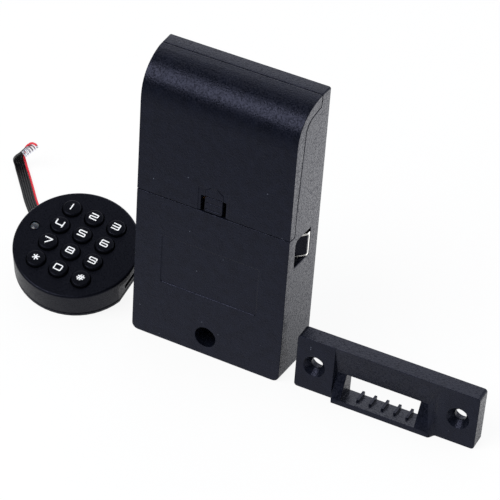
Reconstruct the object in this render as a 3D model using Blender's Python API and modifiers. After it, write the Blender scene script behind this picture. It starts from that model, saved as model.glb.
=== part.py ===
"""Electronic cabinet lock: the lock body with its geared bolt and battery bay, the round
keypad on its ribbon cable, and the strike plate that the bolt shoots into.

Units are metres and +Z is up. The origin is the middle of the body's bottom face. The bolt
leaves the body towards +X, and +Y runs to the back, the side that is screwed to the door.
Depths are measured back from the body's front face.
"""

import math

import bmesh
import bpy
import numpy as np
from mathutils import Matrix, Vector

# Clearances and mesh fineness
GAP = 0.0003
FIT = 0.0001
SINK = 0.0005
OVER = 0.002
MERGE = 0.000001
FLAT_ANGLE = math.radians(0.05)
SMOOTH_ANGLE = math.radians(32)
ROUND_SIDES = 32
CELL_SIDES = 24
KEY_SIDES = 20
SMALL_SIDES = 16
TINY_SIDES = 12
DISC_SIDES = 48
FACE_SIDES = 56
CORNER_STEPS = 4
FEW_STEPS = 2
MM_PER_METRE = 1000

# Outer form of the body; its width, depth and height follow from what it holds
SIDE_FLARE = 0.0012
BODY_CORNER = 0.0025
TOP_CORNER = 0.0008
SHOULDER_HEIGHT = 0.016
SHOULDER_POWER = 2.5
SHOULDER_STEPS = 14
SIDE_WALL = 0.0018
FACE_WALL = 0.0020
LABEL_WIDTH = 0.0388
LABEL_HEIGHT = 0.0204
LABEL_BASE = 0.0255
LABEL_DEPTH = 0.0003
LABEL_CORNER = 0.0008

# Parting line on the body's side: shares of the depth, and of the height above the split
PARTING_SHARES = [
    (0.157, 0.0), (0.157, 0.225), (0.207, 0.531), (0.252, 0.809), (0.305, 0.853),
    (0.400, 0.879), (0.576, 0.899), (0.705, 0.908), (0.714, 0.925), (0.721, 0.966),
]

# Screw well in the lower front
WELL_HEIGHT = 0.0079
WELL_RADIUS = 0.00418
WELL_DEPTH = 0.017
WELL_BOSS_RADIUS = 0.006
WOOD_SCREW_RADIUS = 0.00215

# Back plate and its screws
PLATE_THICKNESS = 0.0020
SCREW_RADIUS = 0.0011
SCREW_HEAD_RADIUS = 0.0022
SCREW_HEAD_HEIGHT = 0.0011
SCREW_LENGTH = 0.0105
SCREW_SOCKET_RADIUS = 0.0007
SCREW_SOCKET_DEPTH = 0.0006
SCREW_BOSS_RADIUS = 0.00275
LOW_SCREW_INSET = 0.0062
LOW_SCREW_HEIGHT = 0.0065
HIGH_SCREW_INSET = 0.0016
HIGH_SCREW_DROP = 0.0165
HIGH_BOSS_LENGTH = 0.0107
DOOR_HOLE_RADIUS = 0.0021
DOOR_HOLE_RISE = 0.02375
CABLE_SLOT_WIDTH = 0.014
CABLE_SLOT_HEIGHT = 0.006
CABLE_SLOT_CORNER = 0.0015

# Cells, contacts and the bay around them
CELL_DIAMETER = 0.0105
CELL_LENGTH = 0.0445
CELL_RIM = 0.0006
NUB_RADIUS = 0.0019
NUB_LENGTH = 0.0010
CELL_SPACING = 0.0009
CELL_COUNT = 4
BAY_SIDE_SPACE = 0.00095
BAY_WALL = 0.0015
BAY_BACK_WALL = 0.0014
BAY_FLOOR_WALL = 0.0015
BAY_CEILING_WALL = 0.0010
BAY_HEADROOM = 0.0015
BAY_SCREW_SPACE = 0.0034
BAY_LIP = 0.00195
CONTACT_THICKNESS = 0.0004
CONTACT_WIDTH = 0.0088
CONTACT_DEPTH = 0.0066
CONTACT_CORNER = 0.0012
SPRING_HEIGHT = 0.0035
SPRING_WIRE = 0.0005
SPRING_BASE_RADIUS = 0.0034
SPRING_TOP_RADIUS = 0.0024
SPRING_TURNS = 3
CURL_POINTS = 9

# Hooks of the cover under the top strip
HOOK_WIDTH = 0.006
HOOK_X = 0.015
HOOK_THICKNESS = 0.0009
HOOK_REACH = 0.0012
HOOK_ROOT = 0.0026

# Spring tab in the cover's lower edge
TAB_WIDTH = 0.0070
TAB_THICKNESS = 0.0015
TAB_LENGTH = 0.0062
TAB_SLOT = 0.0015
TAB_CORNER = 0.0006
TAB_GROOVE_WIDTH = 0.0005
TAB_GROOVE_DEPTH = 0.0003
TAB_GROOVE_SHARES = [0.18, 0.61]
THUMB_WIDTH = 0.0120
THUMB_LENGTH = 0.0105
THUMB_DEPTH = 0.00025
THUMB_CORNER = 0.0015

# Bolt, its steel strip and its rack
STRIP_THICKNESS = 0.00075
STRIP_HEIGHT = 0.0098
STRIP_LENGTH = 0.0139
BOLT_OVER_GEARBOX = 0.0040
BOLT_HEADROOM = 0.0006
BOLT_DEPTH = 0.0099
BOLT_SHOW = 0.0009
BOLT_HEAD_LENGTH = 0.0149
BOLT_BEVEL_LENGTH = 0.0067
BOLT_TIP_FLAT = 0.0017
BOLT_TRAVEL = 0.0090
TAIL_LENGTH = 0.0340
TAIL_HEIGHT = 0.0070
TAIL_THICKNESS = 0.0029
WINDOW_HEADROOM = 0.0015
WINDOW_FRONT_SPACE = 0.0004
WINDOW_CORNER = 0.0022
GUIDE_THICKNESS = 0.0018
GUIDE_LEAD = 0.008
PAD_LEAD = 0.006
PAD_LENGTH = 0.013
PAD_HEIGHT = 0.007
BOLT_RIB_LEAD = 0.005
BOLT_RIB_LENGTH = 0.016
BOLT_RIB_HEIGHT = 0.006

# Pinion and rack teeth
MODULE = 0.0006
PINION_TEETH = 10
PINION_HEIGHT = 0.0060
PINION_LEAD = 0.020
ADDENDUM_SHARE = 0.85
DEDENDUM_SHARE = 1.2
TIP_FLANK_SHARE = 1.25
ROOT_FLANK_SHARE = 0.5
TOOTH_SLIM = 0.00009
PRESSURE_ANGLE = math.radians(20.0)
RACK_SPARE_TEETH = 4
SHAFT_RADIUS = 0.0010
SHAFT_END = 0.0012

# Return spring of the bolt
BOLT_SPRING_SPACE = 0.0041
BOLT_SPRING_WIRE = 0.00045
BOLT_SPRING_RADIUS = 0.0015
BOLT_SPRING_TURNS = 11
PEG_RADIUS = 0.0008
PEG_TAIL_INSET = 0.003
PEG_PLATE_LEAD = 0.0080
PEG_END_SPACE = 0.0009
PEG_LOOP_RADIUS = 0.0012
LOOP_POINTS = 12
LOOP_FROM = math.radians(-210)
LOOP_TO = math.radians(90)
HOOK_LEAD = 0.0016

# Geared motor and its supports
MOTOR_FRONT_SPACE = 0.00043
MOTOR_RADIUS = 0.0060
MOTOR_FLAT = 0.0100
MOTOR_LENGTH = 0.0150
GEARBOX_WIDTH = 0.0120
GEARBOX_DEPTH = 0.0100
GEARBOX_HEIGHT = 0.0090
GEARBOX_BORE_DEPTH = 0.0015
GEARBOX_CORNER = 0.0012
SHELF_OVER_WELL = 0.0046
SHELF_THICKNESS = 0.0015
CRADLE_THICKNESS = 0.0013
CRADLE_DEPTH = 0.0084
CRADLE_LENGTH = 0.020
SHELF_DEPTH = 0.0098

# Main board and what it carries
BOARD_SIDE_SPACE = 0.0022
BOARD_OVER_WELL = 0.0011
BOARD_TOP_SPACE = 0.0005
BOARD_THICKNESS = 0.0016
BOARD_CORNER = 0.0015
POST_RADIUS = 0.0020
POST_PIN_RADIUS = 0.0008
POST_PIN_LENGTH = 0.0024
POST_INSET = 0.0036
CHIP_SIZE = 0.0070
CHIP_HEIGHT = 0.0012
CHIP_INSET = 0.0120
CHIP_DROP = 0.0078
BUZZER_RADIUS = 0.0045
BUZZER_HEIGHT = 0.0040
BUZZER_PORT_RADIUS = 0.0008
BUZZER_PORT_DEPTH = 0.0010
BUZZER_RISE = 0.0110
SOCKET_INSET = 0.0095
SOCKET_RISE = 0.0150
SOCKET_BACK_SPACE = 0.0006
SOCKET_WIDTH = 0.0130
SOCKET_HEIGHT = 0.0050
SOCKET_DEPTH = 0.0037
SOCKET_WALL = 0.0007

# Keypad: place and tilt of the middle of its face
FACE_X = -0.06057
FACE_DEPTH = 0.01052
FACE_TILT = math.radians(19.2)
FACE_TURN = math.radians(18.24)
FACE_SPIN = math.radians(-18.31)

# Keypad: shell, back and keys
KEYPAD_FLARE = 0.00017
KEYPAD_THICKNESS = 0.0119
FACE_EDGE = 0.0009
FACE_EDGE_SHARE = 0.3
SHELL_WALL = 0.0018
SHELL_TOP = 0.0018
KEYPAD_BACK_THICKNESS = 0.0015
FLAT_CUT = 0.0012
FLAT_START = 0.0030
SPIGOT_RADIUS = 0.0070
SPIGOT_LENGTH = 0.0058
SPIGOT_BORE = 0.0052
NOTCH_WIDTH = 0.0064
NOTCH_HEIGHT = 0.0020
KEY_RADIUS = 0.0035
KEY_RISE = 0.0012
KEY_EDGE = 0.0004
KEY_FLANGE_RADIUS = 0.0041
KEY_FLANGE_THICKNESS = 0.0008
KEY_TRAVEL = 0.0007
KEY_PITCH_ACROSS = 0.00955
KEY_PITCH_UP = 0.00860
KEY_NAMES = [["1", "2", "3"], ["4", "5", "6"], ["7", "8", "9"], ["star", "0", "hash"]]
LENS_RADIUS = 0.0015
LENS_INSET = 0.0057
LENS_RISE = 0.0001
LENS_FLANGE_RADIUS = 0.0023
LENS_FLANGE_THICKNESS = 0.0009
MAT_THICKNESS = 0.0006
DOME_HEIGHT = 0.0005
DOME_RADIUS = 0.0024
DOME_TOP_SHARE = 0.8
MAT_SPACE = 0.0010
KEYPAD_BOARD_THICKNESS = 0.0012
KEYPAD_POST_RADIUS = 0.0023
POST_CORNER_SPACE = 0.00385
POST_CORNER_TURN = math.radians(19.5)
POST_BITE = 0.0003
KEYPAD_SCREW_RADIUS = 0.0009
KEYPAD_SCREW_HEAD_RADIUS = 0.0017
KEYPAD_SCREW_HEAD_HEIGHT = 0.0008
KEYPAD_SCREW_LENGTH = 0.0065
PORT_WIDTH = 0.0072
PORT_HEIGHT = 0.0020
PORT_DROP = 0.0078
PORT_DEPTH = 0.0060
PORT_MOUTH_WALL = 0.0004
PORT_MOUTH_DEPTH = 0.0030

# Ribbon cable: points of its middle (x, depth, height) and the way its right edge lies
CABLE_WIDTH = 0.0053
CABLE_THICKNESS = 0.0010
CABLE_STEPS = 3
CABLE_ROUTE = [
    (-0.06795, 0.02000, 0.00535), (-0.07300, 0.02380, 0.00590), (-0.07950, 0.02830, 0.00430),
    (-0.08700, 0.03320, 0.00170), (-0.09450, 0.03870, 0.00070), (-0.10200, 0.04590, 0.00060),
    (-0.10850, 0.05330, 0.00060), (-0.11400, 0.05960, 0.00060), (-0.11770, 0.06380, 0.00060),
    (-0.11990, 0.06630, 0.00090), (-0.12085, 0.06685, 0.00260), (-0.12030, 0.06665, 0.00490),
    (-0.11890, 0.06660, 0.00750), (-0.11700, 0.06660, 0.00940), (-0.11530, 0.06600, 0.00965),
    (-0.11385, 0.06500, 0.00935),
]
CABLE_SIDE = [
    (0.630, 0.754, 0.181), (0.600, 0.790, 0.100), (0.590, 0.805, 0.000),
    (0.595, 0.804, 0.000), (0.650, 0.760, 0.000), (0.722, 0.692, 0.000),
    (0.752, 0.659, 0.000), (0.752, 0.659, 0.000), (0.752, 0.659, 0.000),
    (0.740, 0.670, 0.000), (0.670, 0.740, -0.050), (0.240, 0.940, -0.240),
    (-0.140, 0.970, -0.180), (-0.040, 0.990, 0.100), (0.160, 0.880, 0.450),
    (0.345, 0.683, 0.650),
]

# Strike plate: place, turn and form, u along it, v into it
STRIKE_X = 0.03555
STRIKE_DEPTH = 0.00201
STRIKE_TURN = math.radians(1.28)
STRIKE_LENGTH = 0.0696
STRIKE_HEIGHT = 0.0225
STRIKE_THICKNESS = 0.00672
STRIKE_CORNER = 0.0012
SCOOP_DEPTH = 0.0020
SCOOP_START = 0.0146
SCOOP_STEP = 0.0010
SCOOP_LENGTH = 0.0347
SCOOP_FADE = 0.0047
LIP_FADE_SPACE = 0.0028
LIP_FADE_STEPS = 4
LIP_REACH = 0.00235
LIP_HEIGHT = 0.0022
STRIKE_WINDOW_INSET = 0.0035
STRIKE_WINDOW_LENGTH = 0.0285
STRIKE_WINDOW_BASE = 0.0010
STRIKE_WINDOW_TOP = 0.0111
STRIKE_HOLE_RADIUS = 0.0022
STRIKE_SINK_RADIUS = 0.00433
STRIKE_SINK_DEPTH = 0.0026
STRIKE_BORE_RADIUS = 0.0036
STRIKE_BORE_DEPTH = 0.0024
STRIKE_HOLE_U = [0.0071, 0.0624]
STRIKE_HOLE_HEIGHT = 0.01112
STRIKE_RIB_COUNT = 5
STRIKE_RIB_LEAD = 0.00535
STRIKE_RIB_PITCH = 0.00475
STRIKE_RIB_WIDTH = 0.0010
STRIKE_RIB_HEIGHT = 0.0007
STRIKE_RIB_FRONT = 0.0011

# Up the body: well, motor, gearbox, bolt, bay floor, cells, top wall
WELL_TOP = WELL_HEIGHT + WELL_BOSS_RADIUS
MOTOR_BASE = WELL_TOP + SHELF_OVER_WELL + SHELF_THICKNESS + GAP
GEARBOX_BASE = MOTOR_BASE + MOTOR_LENGTH + FIT
GEARBOX_TOP = GEARBOX_BASE + GEARBOX_HEIGHT
BOLT_BASE = GEARBOX_TOP + BOLT_OVER_GEARBOX
BOLT_TOP = BOLT_BASE + STRIP_HEIGHT
BOLT_MIDDLE = BOLT_BASE + STRIP_HEIGHT / 2
TAIL_BOTTOM = BOLT_MIDDLE - TAIL_HEIGHT / 2
BAY_FLOOR = BOLT_TOP + BOLT_HEADROOM + BAY_FLOOR_WALL
SPLIT_HEIGHT = BAY_FLOOR + BAY_LIP
CONTACT_TOP = BAY_FLOOR + GAP + CONTACT_THICKNESS
CELL_STACK = SPRING_HEIGHT + CELL_LENGTH + 3 * FIT
BAY_CEILING = CONTACT_TOP + CELL_STACK + CONTACT_THICKNESS + GAP
BODY_HEIGHT = BAY_CEILING + BAY_CEILING_WALL + BAY_HEADROOM + FACE_WALL

# Back from the body's front: wall, motor, pinion, rack, bolt, spring, plate
PINION_RADIUS = MODULE * PINION_TEETH / 2
RACK_TEETH = math.ceil(BOLT_TRAVEL / (math.pi * MODULE)) + RACK_SPARE_TEETH
DRIVE_DEPTH = FACE_WALL + MOTOR_FRONT_SPACE + MOTOR_FLAT / 2
PITCH_LINE = DRIVE_DEPTH + PINION_RADIUS
RACK_ROOT = PITCH_LINE + MODULE * DEDENDUM_SHARE
CORE_BACK = RACK_ROOT + TAIL_THICKNESS
BOLT_BACK = CORE_BACK + FIT + STRIP_THICKNESS
BOLT_FRONT = BOLT_BACK - BOLT_DEPTH
PLATE_FRONT = BOLT_BACK + BOLT_SPRING_SPACE
BODY_DEPTH = PLATE_FRONT + PLATE_THICKNESS
FRONT_Y = -BODY_DEPTH / 2
BOLT_SPRING_DEPTH = (CORE_BACK + PLATE_FRONT) / 2
BOSS_END = PLATE_FRONT - GAP
BAY_BACK = BOSS_END - BAY_BACK_WALL
CELL_DEPTH = BAY_BACK - GAP - CELL_DIAMETER / 2
BOARD_BACK = PLATE_FRONT - SOCKET_BACK_SPACE - SOCKET_DEPTH - FIT
BOARD_FRONT = BOARD_BACK - BOARD_THICKNESS

# Across the body: cells, bay wall, screw bosses, side wall
CELL_PITCH = CELL_DIAMETER + CELL_SPACING
BAY_HALF = CELL_PITCH * (CELL_COUNT - 1) / 2 + CELL_DIAMETER / 2 + BAY_SIDE_SPACE
INNER_HALF = BAY_HALF + BAY_WALL + BAY_SCREW_SPACE
BODY_WIDTH = 2 * (INNER_HALF + SIDE_WALL)
LOW_SCREW_X = INNER_HALF - LOW_SCREW_INSET
HIGH_SCREW_X = INNER_HALF - HIGH_SCREW_INSET
HIGH_SCREW_HEIGHT = BODY_HEIGHT - HIGH_SCREW_DROP
SCREW_PLACES = [
    (-LOW_SCREW_X, LOW_SCREW_HEIGHT), (LOW_SCREW_X, LOW_SCREW_HEIGHT),
    (-HIGH_SCREW_X, HIGH_SCREW_HEIGHT), (HIGH_SCREW_X, HIGH_SCREW_HEIGHT),
]
DOOR_HOLE_HEIGHT = SPLIT_HEIGHT + DOOR_HOLE_RISE

# Along the bolt, back from its tip
BOLT_TIP = BODY_WIDTH / 2 + BOLT_SHOW
HEAD_START = BOLT_TIP - BOLT_HEAD_LENGTH
TAIL_START = HEAD_START - TAIL_LENGTH
PINION_X = HEAD_START - PINION_LEAD
PEG_TAIL_X = TAIL_START + PEG_TAIL_INSET
PEG_PLATE_X = HEAD_START - PEG_PLATE_LEAD

# Main board and its pieces
BOARD_HALF = INNER_HALF - BOARD_SIDE_SPACE
BOARD_BASE = WELL_TOP + BOARD_OVER_WELL
BOARD_TOP = BOLT_BASE - GAP - GUIDE_THICKNESS - BOARD_TOP_SPACE
CHIP_X = BOARD_HALF - CHIP_INSET
CHIP_Z = BOARD_TOP - CHIP_DROP
BUZZER_Z = BOARD_BASE + BUZZER_RISE
SOCKET_X = SOCKET_INSET - BOARD_HALF
SOCKET_Z = BOARD_BASE + SOCKET_RISE

# Keypad: round its keys and screw posts, and down from its face
KEY_FIELD_ACROSS = KEY_PITCH_ACROSS * (len(KEY_NAMES[0]) - 1) / 2
KEY_FIELD_UP = KEY_PITCH_UP * (len(KEY_NAMES) - 1) / 2
POST_CIRCLE = max(
    math.hypot(KEY_FIELD_ACROSS, KEY_FIELD_UP) + POST_CORNER_SPACE,
    KEY_FIELD_UP + KEY_FLANGE_RADIUS + GAP + KEYPAD_POST_RADIUS)
LOW_POST_ANGLE = math.atan2(KEY_FIELD_UP, KEY_FIELD_ACROSS) - POST_CORNER_TURN
KEYPAD_POST_ANGLES = [math.pi / 2, math.pi + LOW_POST_ANGLE, -LOW_POST_ANGLE]
FACE_RADIUS = POST_CIRCLE + KEYPAD_POST_RADIUS + SHELL_WALL - POST_BITE
BACK_RADIUS = FACE_RADIUS + KEYPAD_FLARE
FLAT_DISTANCE = FACE_RADIUS - FLAT_CUT
MAT_RADIUS = FACE_RADIUS - SHELL_WALL - MAT_SPACE
LENS_X = LENS_INSET - FACE_RADIUS
FACE_HEIGHT = BACK_RADIUS * math.sin(FACE_TILT) + KEYPAD_THICKNESS * math.cos(FACE_TILT)
FLANGE_TOP = -SHELL_TOP - GAP
FLANGE_BOTTOM = FLANGE_TOP - KEY_FLANGE_THICKNESS
MAT_TOP = FLANGE_BOTTOM - KEY_TRAVEL - GAP - DOME_HEIGHT
MAT_BOTTOM = MAT_TOP - MAT_THICKNESS
KEYPAD_BOARD_TOP = MAT_BOTTOM - GAP
KEYPAD_BOARD_BOTTOM = KEYPAD_BOARD_TOP - KEYPAD_BOARD_THICKNESS
KEYPAD_BACK_TOP = -KEYPAD_THICKNESS + KEYPAD_BACK_THICKNESS
SHELL_BOTTOM = KEYPAD_BACK_TOP + GAP

# Along the strike plate
SCOOP_FULL = SCOOP_START + SCOOP_STEP
SCOOP_FULL_END = SCOOP_FULL + SCOOP_LENGTH
LIP_FULL_END = SCOOP_FULL_END + LIP_FADE_SPACE
SCOOP_END = SCOOP_FULL_END + SCOOP_FADE
STRIKE_WINDOW_START = SCOOP_FULL + STRIKE_WINDOW_INSET
STRIKE_WINDOW_END = STRIKE_WINDOW_START + STRIKE_WINDOW_LENGTH


def clear_scene():
    """Remove every object that the file holds."""
    for item in list(bpy.data.objects):
        bpy.data.objects.remove(item, do_unlink=True)


def new_collection(name):
    """Make a collection under the scene's own."""
    group = bpy.data.collections.new(name)
    bpy.context.scene.collection.children.link(group)
    return group


clear_scene()
PARTS = new_collection("electronic_cabinet_lock")
GUIDES = new_collection("cutters_and_guides")


def finish(name, colour, roughness, metallic=0.0):
    """One Principled material."""
    material = bpy.data.materials.new(name)
    material.use_nodes = True
    shader = material.node_tree.nodes["Principled BSDF"]
    shader.inputs["Base Color"].default_value = (*colour, 1.0)
    shader.inputs["Roughness"].default_value = roughness
    shader.inputs["Metallic"].default_value = metallic
    return material


GRAPHITE = finish("graphite_abs", (0.018, 0.020, 0.026), 0.55)
BLACK = finish("black_abs", (0.008, 0.008, 0.011), 0.45)
KEY_RUBBER = finish("black_key_cap", (0.006, 0.006, 0.008), 0.40)
MAT_RUBBER = finish("grey_silicone", (0.25, 0.25, 0.26), 0.80)
STEEL = finish("bright_steel", (0.62, 0.61, 0.59), 0.25, 1.0)
NICKEL = finish("nickel_plate", (0.66, 0.63, 0.58), 0.30, 1.0)
BRASS = finish("brass", (0.70, 0.48, 0.20), 0.35, 1.0)
BOARD_GREEN = finish("green_circuit_board", (0.02, 0.14, 0.05), 0.50)
WHITE_NYLON = finish("white_nylon", (0.75, 0.74, 0.70), 0.55)
CELL_WRAP = finish("cell_wrap", (0.05, 0.16, 0.10), 0.35)
CHIP_BLACK = finish("chip_epoxy", (0.012, 0.012, 0.012), 0.60)
CLEAR = finish("milky_lens", (0.70, 0.75, 0.80), 0.20)
CABLE_BLACK = finish("dark_cable", (0.03, 0.032, 0.04), 0.45)


def deep(depth):
    """Y of a place that is a depth behind the body's front face."""
    return FRONT_Y + depth


def placed(name, mesh, collection=GUIDES):
    """Put a mesh into the scene; shapes start among the guides."""
    item = bpy.data.objects.new(name, mesh)
    collection.objects.link(item)
    item.hide_render = True
    item.display_type = 'WIRE'
    return item


def as_part(item, name, material):
    """Turn a finished shape into a named sub-part with its material."""
    GUIDES.objects.unlink(item)
    PARTS.objects.link(item)
    item.name = name
    item.data.name = name
    item.hide_render = False
    item.display_type = 'TEXTURED'
    item.data.materials.clear()
    item.data.materials.append(material)
    item.data.shade_smooth()
    item.data.set_sharp_from_angle(angle=SMOOTH_ANGLE)
    return item


def settle(item):
    """Replace an object's mesh by its evaluated one and drop its modifiers."""
    bpy.context.view_layer.update()
    graph = bpy.context.evaluated_depsgraph_get()
    shape = bpy.data.meshes.new_from_object(item.evaluated_get(graph))
    item.modifiers.clear()
    old = item.data
    item.data = shape
    bpy.data.meshes.remove(old)
    return item


def combine(target, tool, operation):
    """Apply one Boolean to the target and remove the tool."""
    step = target.modifiers.new(operation.lower(), 'BOOLEAN')
    step.operation = operation
    step.object = tool
    settle(target)
    shape = tool.data
    bpy.data.objects.remove(tool, do_unlink=True)
    bpy.data.meshes.remove(shape)
    return target


def cut(target, *tools):
    """Cut each tool out of the target."""
    for tool in tools:
        combine(target, tool, 'DIFFERENCE')
    return target


def join(target, *tools):
    """Fuse each tool to the target."""
    for tool in tools:
        combine(target, tool, 'UNION')
    return target


def keep_inside(target, tool):
    """Keep only what lies inside the tool."""
    return combine(target, tool, 'INTERSECT')


def tidy_faces(form):
    """Weld doubled points, merge flat neighbours into one face and turn all faces outwards."""
    bmesh.ops.remove_doubles(form, verts=form.verts, dist=MERGE)
    bmesh.ops.dissolve_degenerate(form, dist=MERGE, edges=form.edges)
    bmesh.ops.dissolve_limit(form, angle_limit=FLAT_ANGLE, verts=form.verts, edges=form.edges)
    bmesh.ops.recalc_face_normals(form, faces=form.faces)


def from_bmesh(name, form):
    """Store a bmesh as a new guide object."""
    mesh = bpy.data.meshes.new(name)
    form.to_mesh(mesh)
    form.free()
    return placed(name, mesh)


def block(name, low, high):
    """A box between its lowest and highest corners."""
    low, high = Vector(low), Vector(high)
    form = bmesh.new()
    bmesh.ops.create_cube(form, size=1)
    bmesh.ops.scale(form, vec=high - low, verts=form.verts)
    bmesh.ops.translate(form, vec=(low + high) / 2, verts=form.verts)
    return from_bmesh(name, form)


def body_block(name, x_range, depth_range, z_range):
    """A box given by x, by depth behind the front face, and by height."""
    low = (x_range[0], deep(depth_range[0]), z_range[0])
    high = (x_range[1], deep(depth_range[1]), z_range[1])
    return block(name, low, high)


def rod(name, radius, start, end, end_radius=None, sides=ROUND_SIDES):
    """A cylinder, or a cone where the end radius differs, between two points."""
    start, end = Vector(start), Vector(end)
    reach = end - start
    form = bmesh.new()
    top = radius if end_radius is None else end_radius
    bmesh.ops.create_cone(
        form, cap_ends=True, segments=sides, radius1=radius, radius2=top, depth=reach.length)
    turn = Vector((0, 0, 1)).rotation_difference(reach).to_matrix()
    bmesh.ops.rotate(form, cent=(0, 0, 0), matrix=turn, verts=form.verts)
    bmesh.ops.translate(form, vec=(start + end) / 2, verts=form.verts)
    return from_bmesh(name, form)


def deep_rod(name, radius, x, z, depth_range, end_radius=None, sides=ROUND_SIDES):
    """A rod that runs straight back, between two depths."""
    start = (x, deep(depth_range[0]), z)
    end = (x, deep(depth_range[1]), z)
    return rod(name, radius, start, end, end_radius, sides)


def turned(name, profile, sides=ROUND_SIDES):
    """A profile of (radius, height) points, outer side from top to bottom, turned about Z."""
    mesh = bpy.data.meshes.new(name)
    edges = [(index, index + 1) for index in range(len(profile) - 1)]
    mesh.from_pydata([(radius, 0, height) for radius, height in profile], edges, [])
    item = placed(name, mesh)
    screw = item.modifiers.new("turn", 'SCREW')
    screw.axis = 'Z'
    screw.steps = sides
    screw.render_steps = sides
    screw.use_merge_vertices = True
    screw.merge_threshold = MERGE
    settle(item)
    form = bmesh.new()
    form.from_mesh(item.data)
    tidy_faces(form)
    form.to_mesh(item.data)
    form.free()
    return item


def prism(name, outlines, low, high, plane='XY'):
    """Closed flat outlines extruded between two levels along the plane's normal."""
    curve = bpy.data.curves.new(name, 'CURVE')
    curve.dimensions = '2D'
    curve.fill_mode = 'BOTH'
    curve.extrude = (high - low) / 2
    for points in outlines:
        spline = curve.splines.new('POLY')
        spline.points.add(len(points) - 1)
        for point, (across, along) in zip(spline.points, points):
            point.co = (across, along, 0, 1)
        spline.use_cyclic_u = True
    item = placed(name, curve)
    bpy.context.view_layer.update()
    graph = bpy.context.evaluated_depsgraph_get()
    mesh = bpy.data.meshes.new_from_object(item.evaluated_get(graph))
    bpy.data.objects.remove(item, do_unlink=True)
    bpy.data.curves.remove(curve)
    middle = (low + high) / 2
    turns = {
        'XY': Matrix(((1, 0, 0), (0, 1, 0), (0, 0, 1))),
        'XZ': Matrix(((1, 0, 0), (0, 0, -1), (0, 1, 0))),
        'YZ': Matrix(((0, 0, 1), (1, 0, 0), (0, 1, 0))),
    }
    shifts = {'XY': (0, 0, middle), 'XZ': (0, middle, 0), 'YZ': (middle, 0, 0)}
    form = bmesh.new()
    form.from_mesh(mesh)
    bpy.data.meshes.remove(mesh)
    bmesh.ops.rotate(form, cent=(0, 0, 0), matrix=turns[plane], verts=form.verts)
    bmesh.ops.translate(form, vec=shifts[plane], verts=form.verts)
    tidy_faces(form)
    return from_bmesh(name, form)


def rounded(low, high, radius, steps=CORNER_STEPS, top=None):
    """Outline of a rectangle with round corners, the upper two with a radius of their own."""
    top = radius if top is None else top
    corners = [
        (high[0] - top, high[1] - top, top), (low[0] + top, high[1] - top, top),
        (low[0] + radius, low[1] + radius, radius), (high[0] - radius, low[1] + radius, radius),
    ]
    points = []
    for quarter, (across, along, reach) in enumerate(corners):
        for step in range(steps + 1):
            angle = math.pi / 2 * (quarter + step / steps)
            points.append((across + reach * math.cos(angle), along + reach * math.sin(angle)))
    return points


def ring(radius, sides=ROUND_SIDES, centre=(0, 0)):
    """Outline of a circle."""
    angles = [2 * math.pi * index / sides for index in range(sides)]
    return [(centre[0] + radius * math.cos(a), centre[1] + radius * math.sin(a)) for a in angles]


def tube(name, points, radius, resolution=1):
    """A round wire along points, with closed ends."""
    curve = bpy.data.curves.new(name, 'CURVE')
    curve.dimensions = '3D'
    curve.bevel_depth = radius
    curve.bevel_resolution = resolution
    curve.use_fill_caps = True
    spline = curve.splines.new('POLY')
    spline.points.add(len(points) - 1)
    for point, place in zip(spline.points, points):
        point.co = (*place, 1)
    item = placed(name, curve)
    bpy.context.view_layer.update()
    graph = bpy.context.evaluated_depsgraph_get()
    mesh = bpy.data.meshes.new_from_object(item.evaluated_get(graph))
    bpy.data.objects.remove(item, do_unlink=True)
    bpy.data.curves.remove(curve)
    form = bmesh.new()
    form.from_mesh(mesh)
    bpy.data.meshes.remove(mesh)
    bmesh.ops.remove_doubles(form, verts=form.verts, dist=MERGE)
    bmesh.ops.recalc_face_normals(form, faces=form.faces)
    return from_bmesh(name, form)


def shoulder(inset):
    """Front and rounded shoulder as (depth, height) points, from the front up to the back."""
    angle = np.linspace(0, math.pi / 2, SHOULDER_STEPS + 1)
    power = 2 / SHOULDER_POWER
    across = np.abs(np.cos(angle)) ** power
    across[-1] = 0
    along = np.abs(np.sin(angle)) ** power
    normal_depth = -across ** (SHOULDER_POWER - 1) / BODY_DEPTH
    normal_height = along ** (SHOULDER_POWER - 1) / SHOULDER_HEIGHT
    length = np.hypot(normal_depth, normal_height)
    depth = BODY_DEPTH * (1 - across) - inset * normal_depth / length
    height = BODY_HEIGHT - SHOULDER_HEIGHT * (1 - along) - inset * normal_height / length
    return list(zip(depth.tolist(), height.tolist()))


def body_form(name, side_inset, face_inset, past_back):
    """The body's outer form, drawn in by an inset on its sides and one on its face and ends."""
    half = BODY_WIDTH / 2 - side_inset
    radius, top = (max(corner - side_inset, GAP) for corner in (BODY_CORNER, TOP_CORNER))
    face = rounded((-half, face_inset), (half, BODY_HEIGHT - face_inset), radius, top=top)
    form = prism(name, [face], deep(-OVER), deep(BODY_DEPTH + past_back), 'XZ')
    for vertex in form.data.vertices:
        share = (vertex.co.y - FRONT_Y) / BODY_DEPTH
        vertex.co.x += math.copysign(SIDE_FLARE * share, vertex.co.x)
    over_back = BODY_DEPTH + past_back
    side = [(deep(face_inset), -OVER)]
    side += [(deep(depth), height) for depth, height in shoulder(face_inset)]
    side += [(deep(over_back), side[-1][1]), (deep(over_back), -OVER)]
    reach = BODY_WIDTH / 2 + SIDE_FLARE + OVER
    return keep_inside(form, prism("side", [side], -reach, reach, 'YZ'))


def cover_region(name, shift):
    """All that lies in front of and above the parting line, moved back and down by a shift."""
    rise = BODY_HEIGHT - SPLIT_HEIGHT
    line = [(share * BODY_DEPTH, SPLIT_HEIGHT + up * rise) for share, up in PARTING_SHARES]
    line.append((line[-1][0], BODY_HEIGHT + OVER))
    line += [(-OVER, BODY_HEIGHT + OVER), (-OVER, SPLIT_HEIGHT)]
    points = [(deep(depth + shift), height - shift) for depth, height in line]
    reach = BODY_WIDTH / 2 + SIDE_FLARE + OVER
    return prism(name, [points], -reach, reach, 'YZ')


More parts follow.
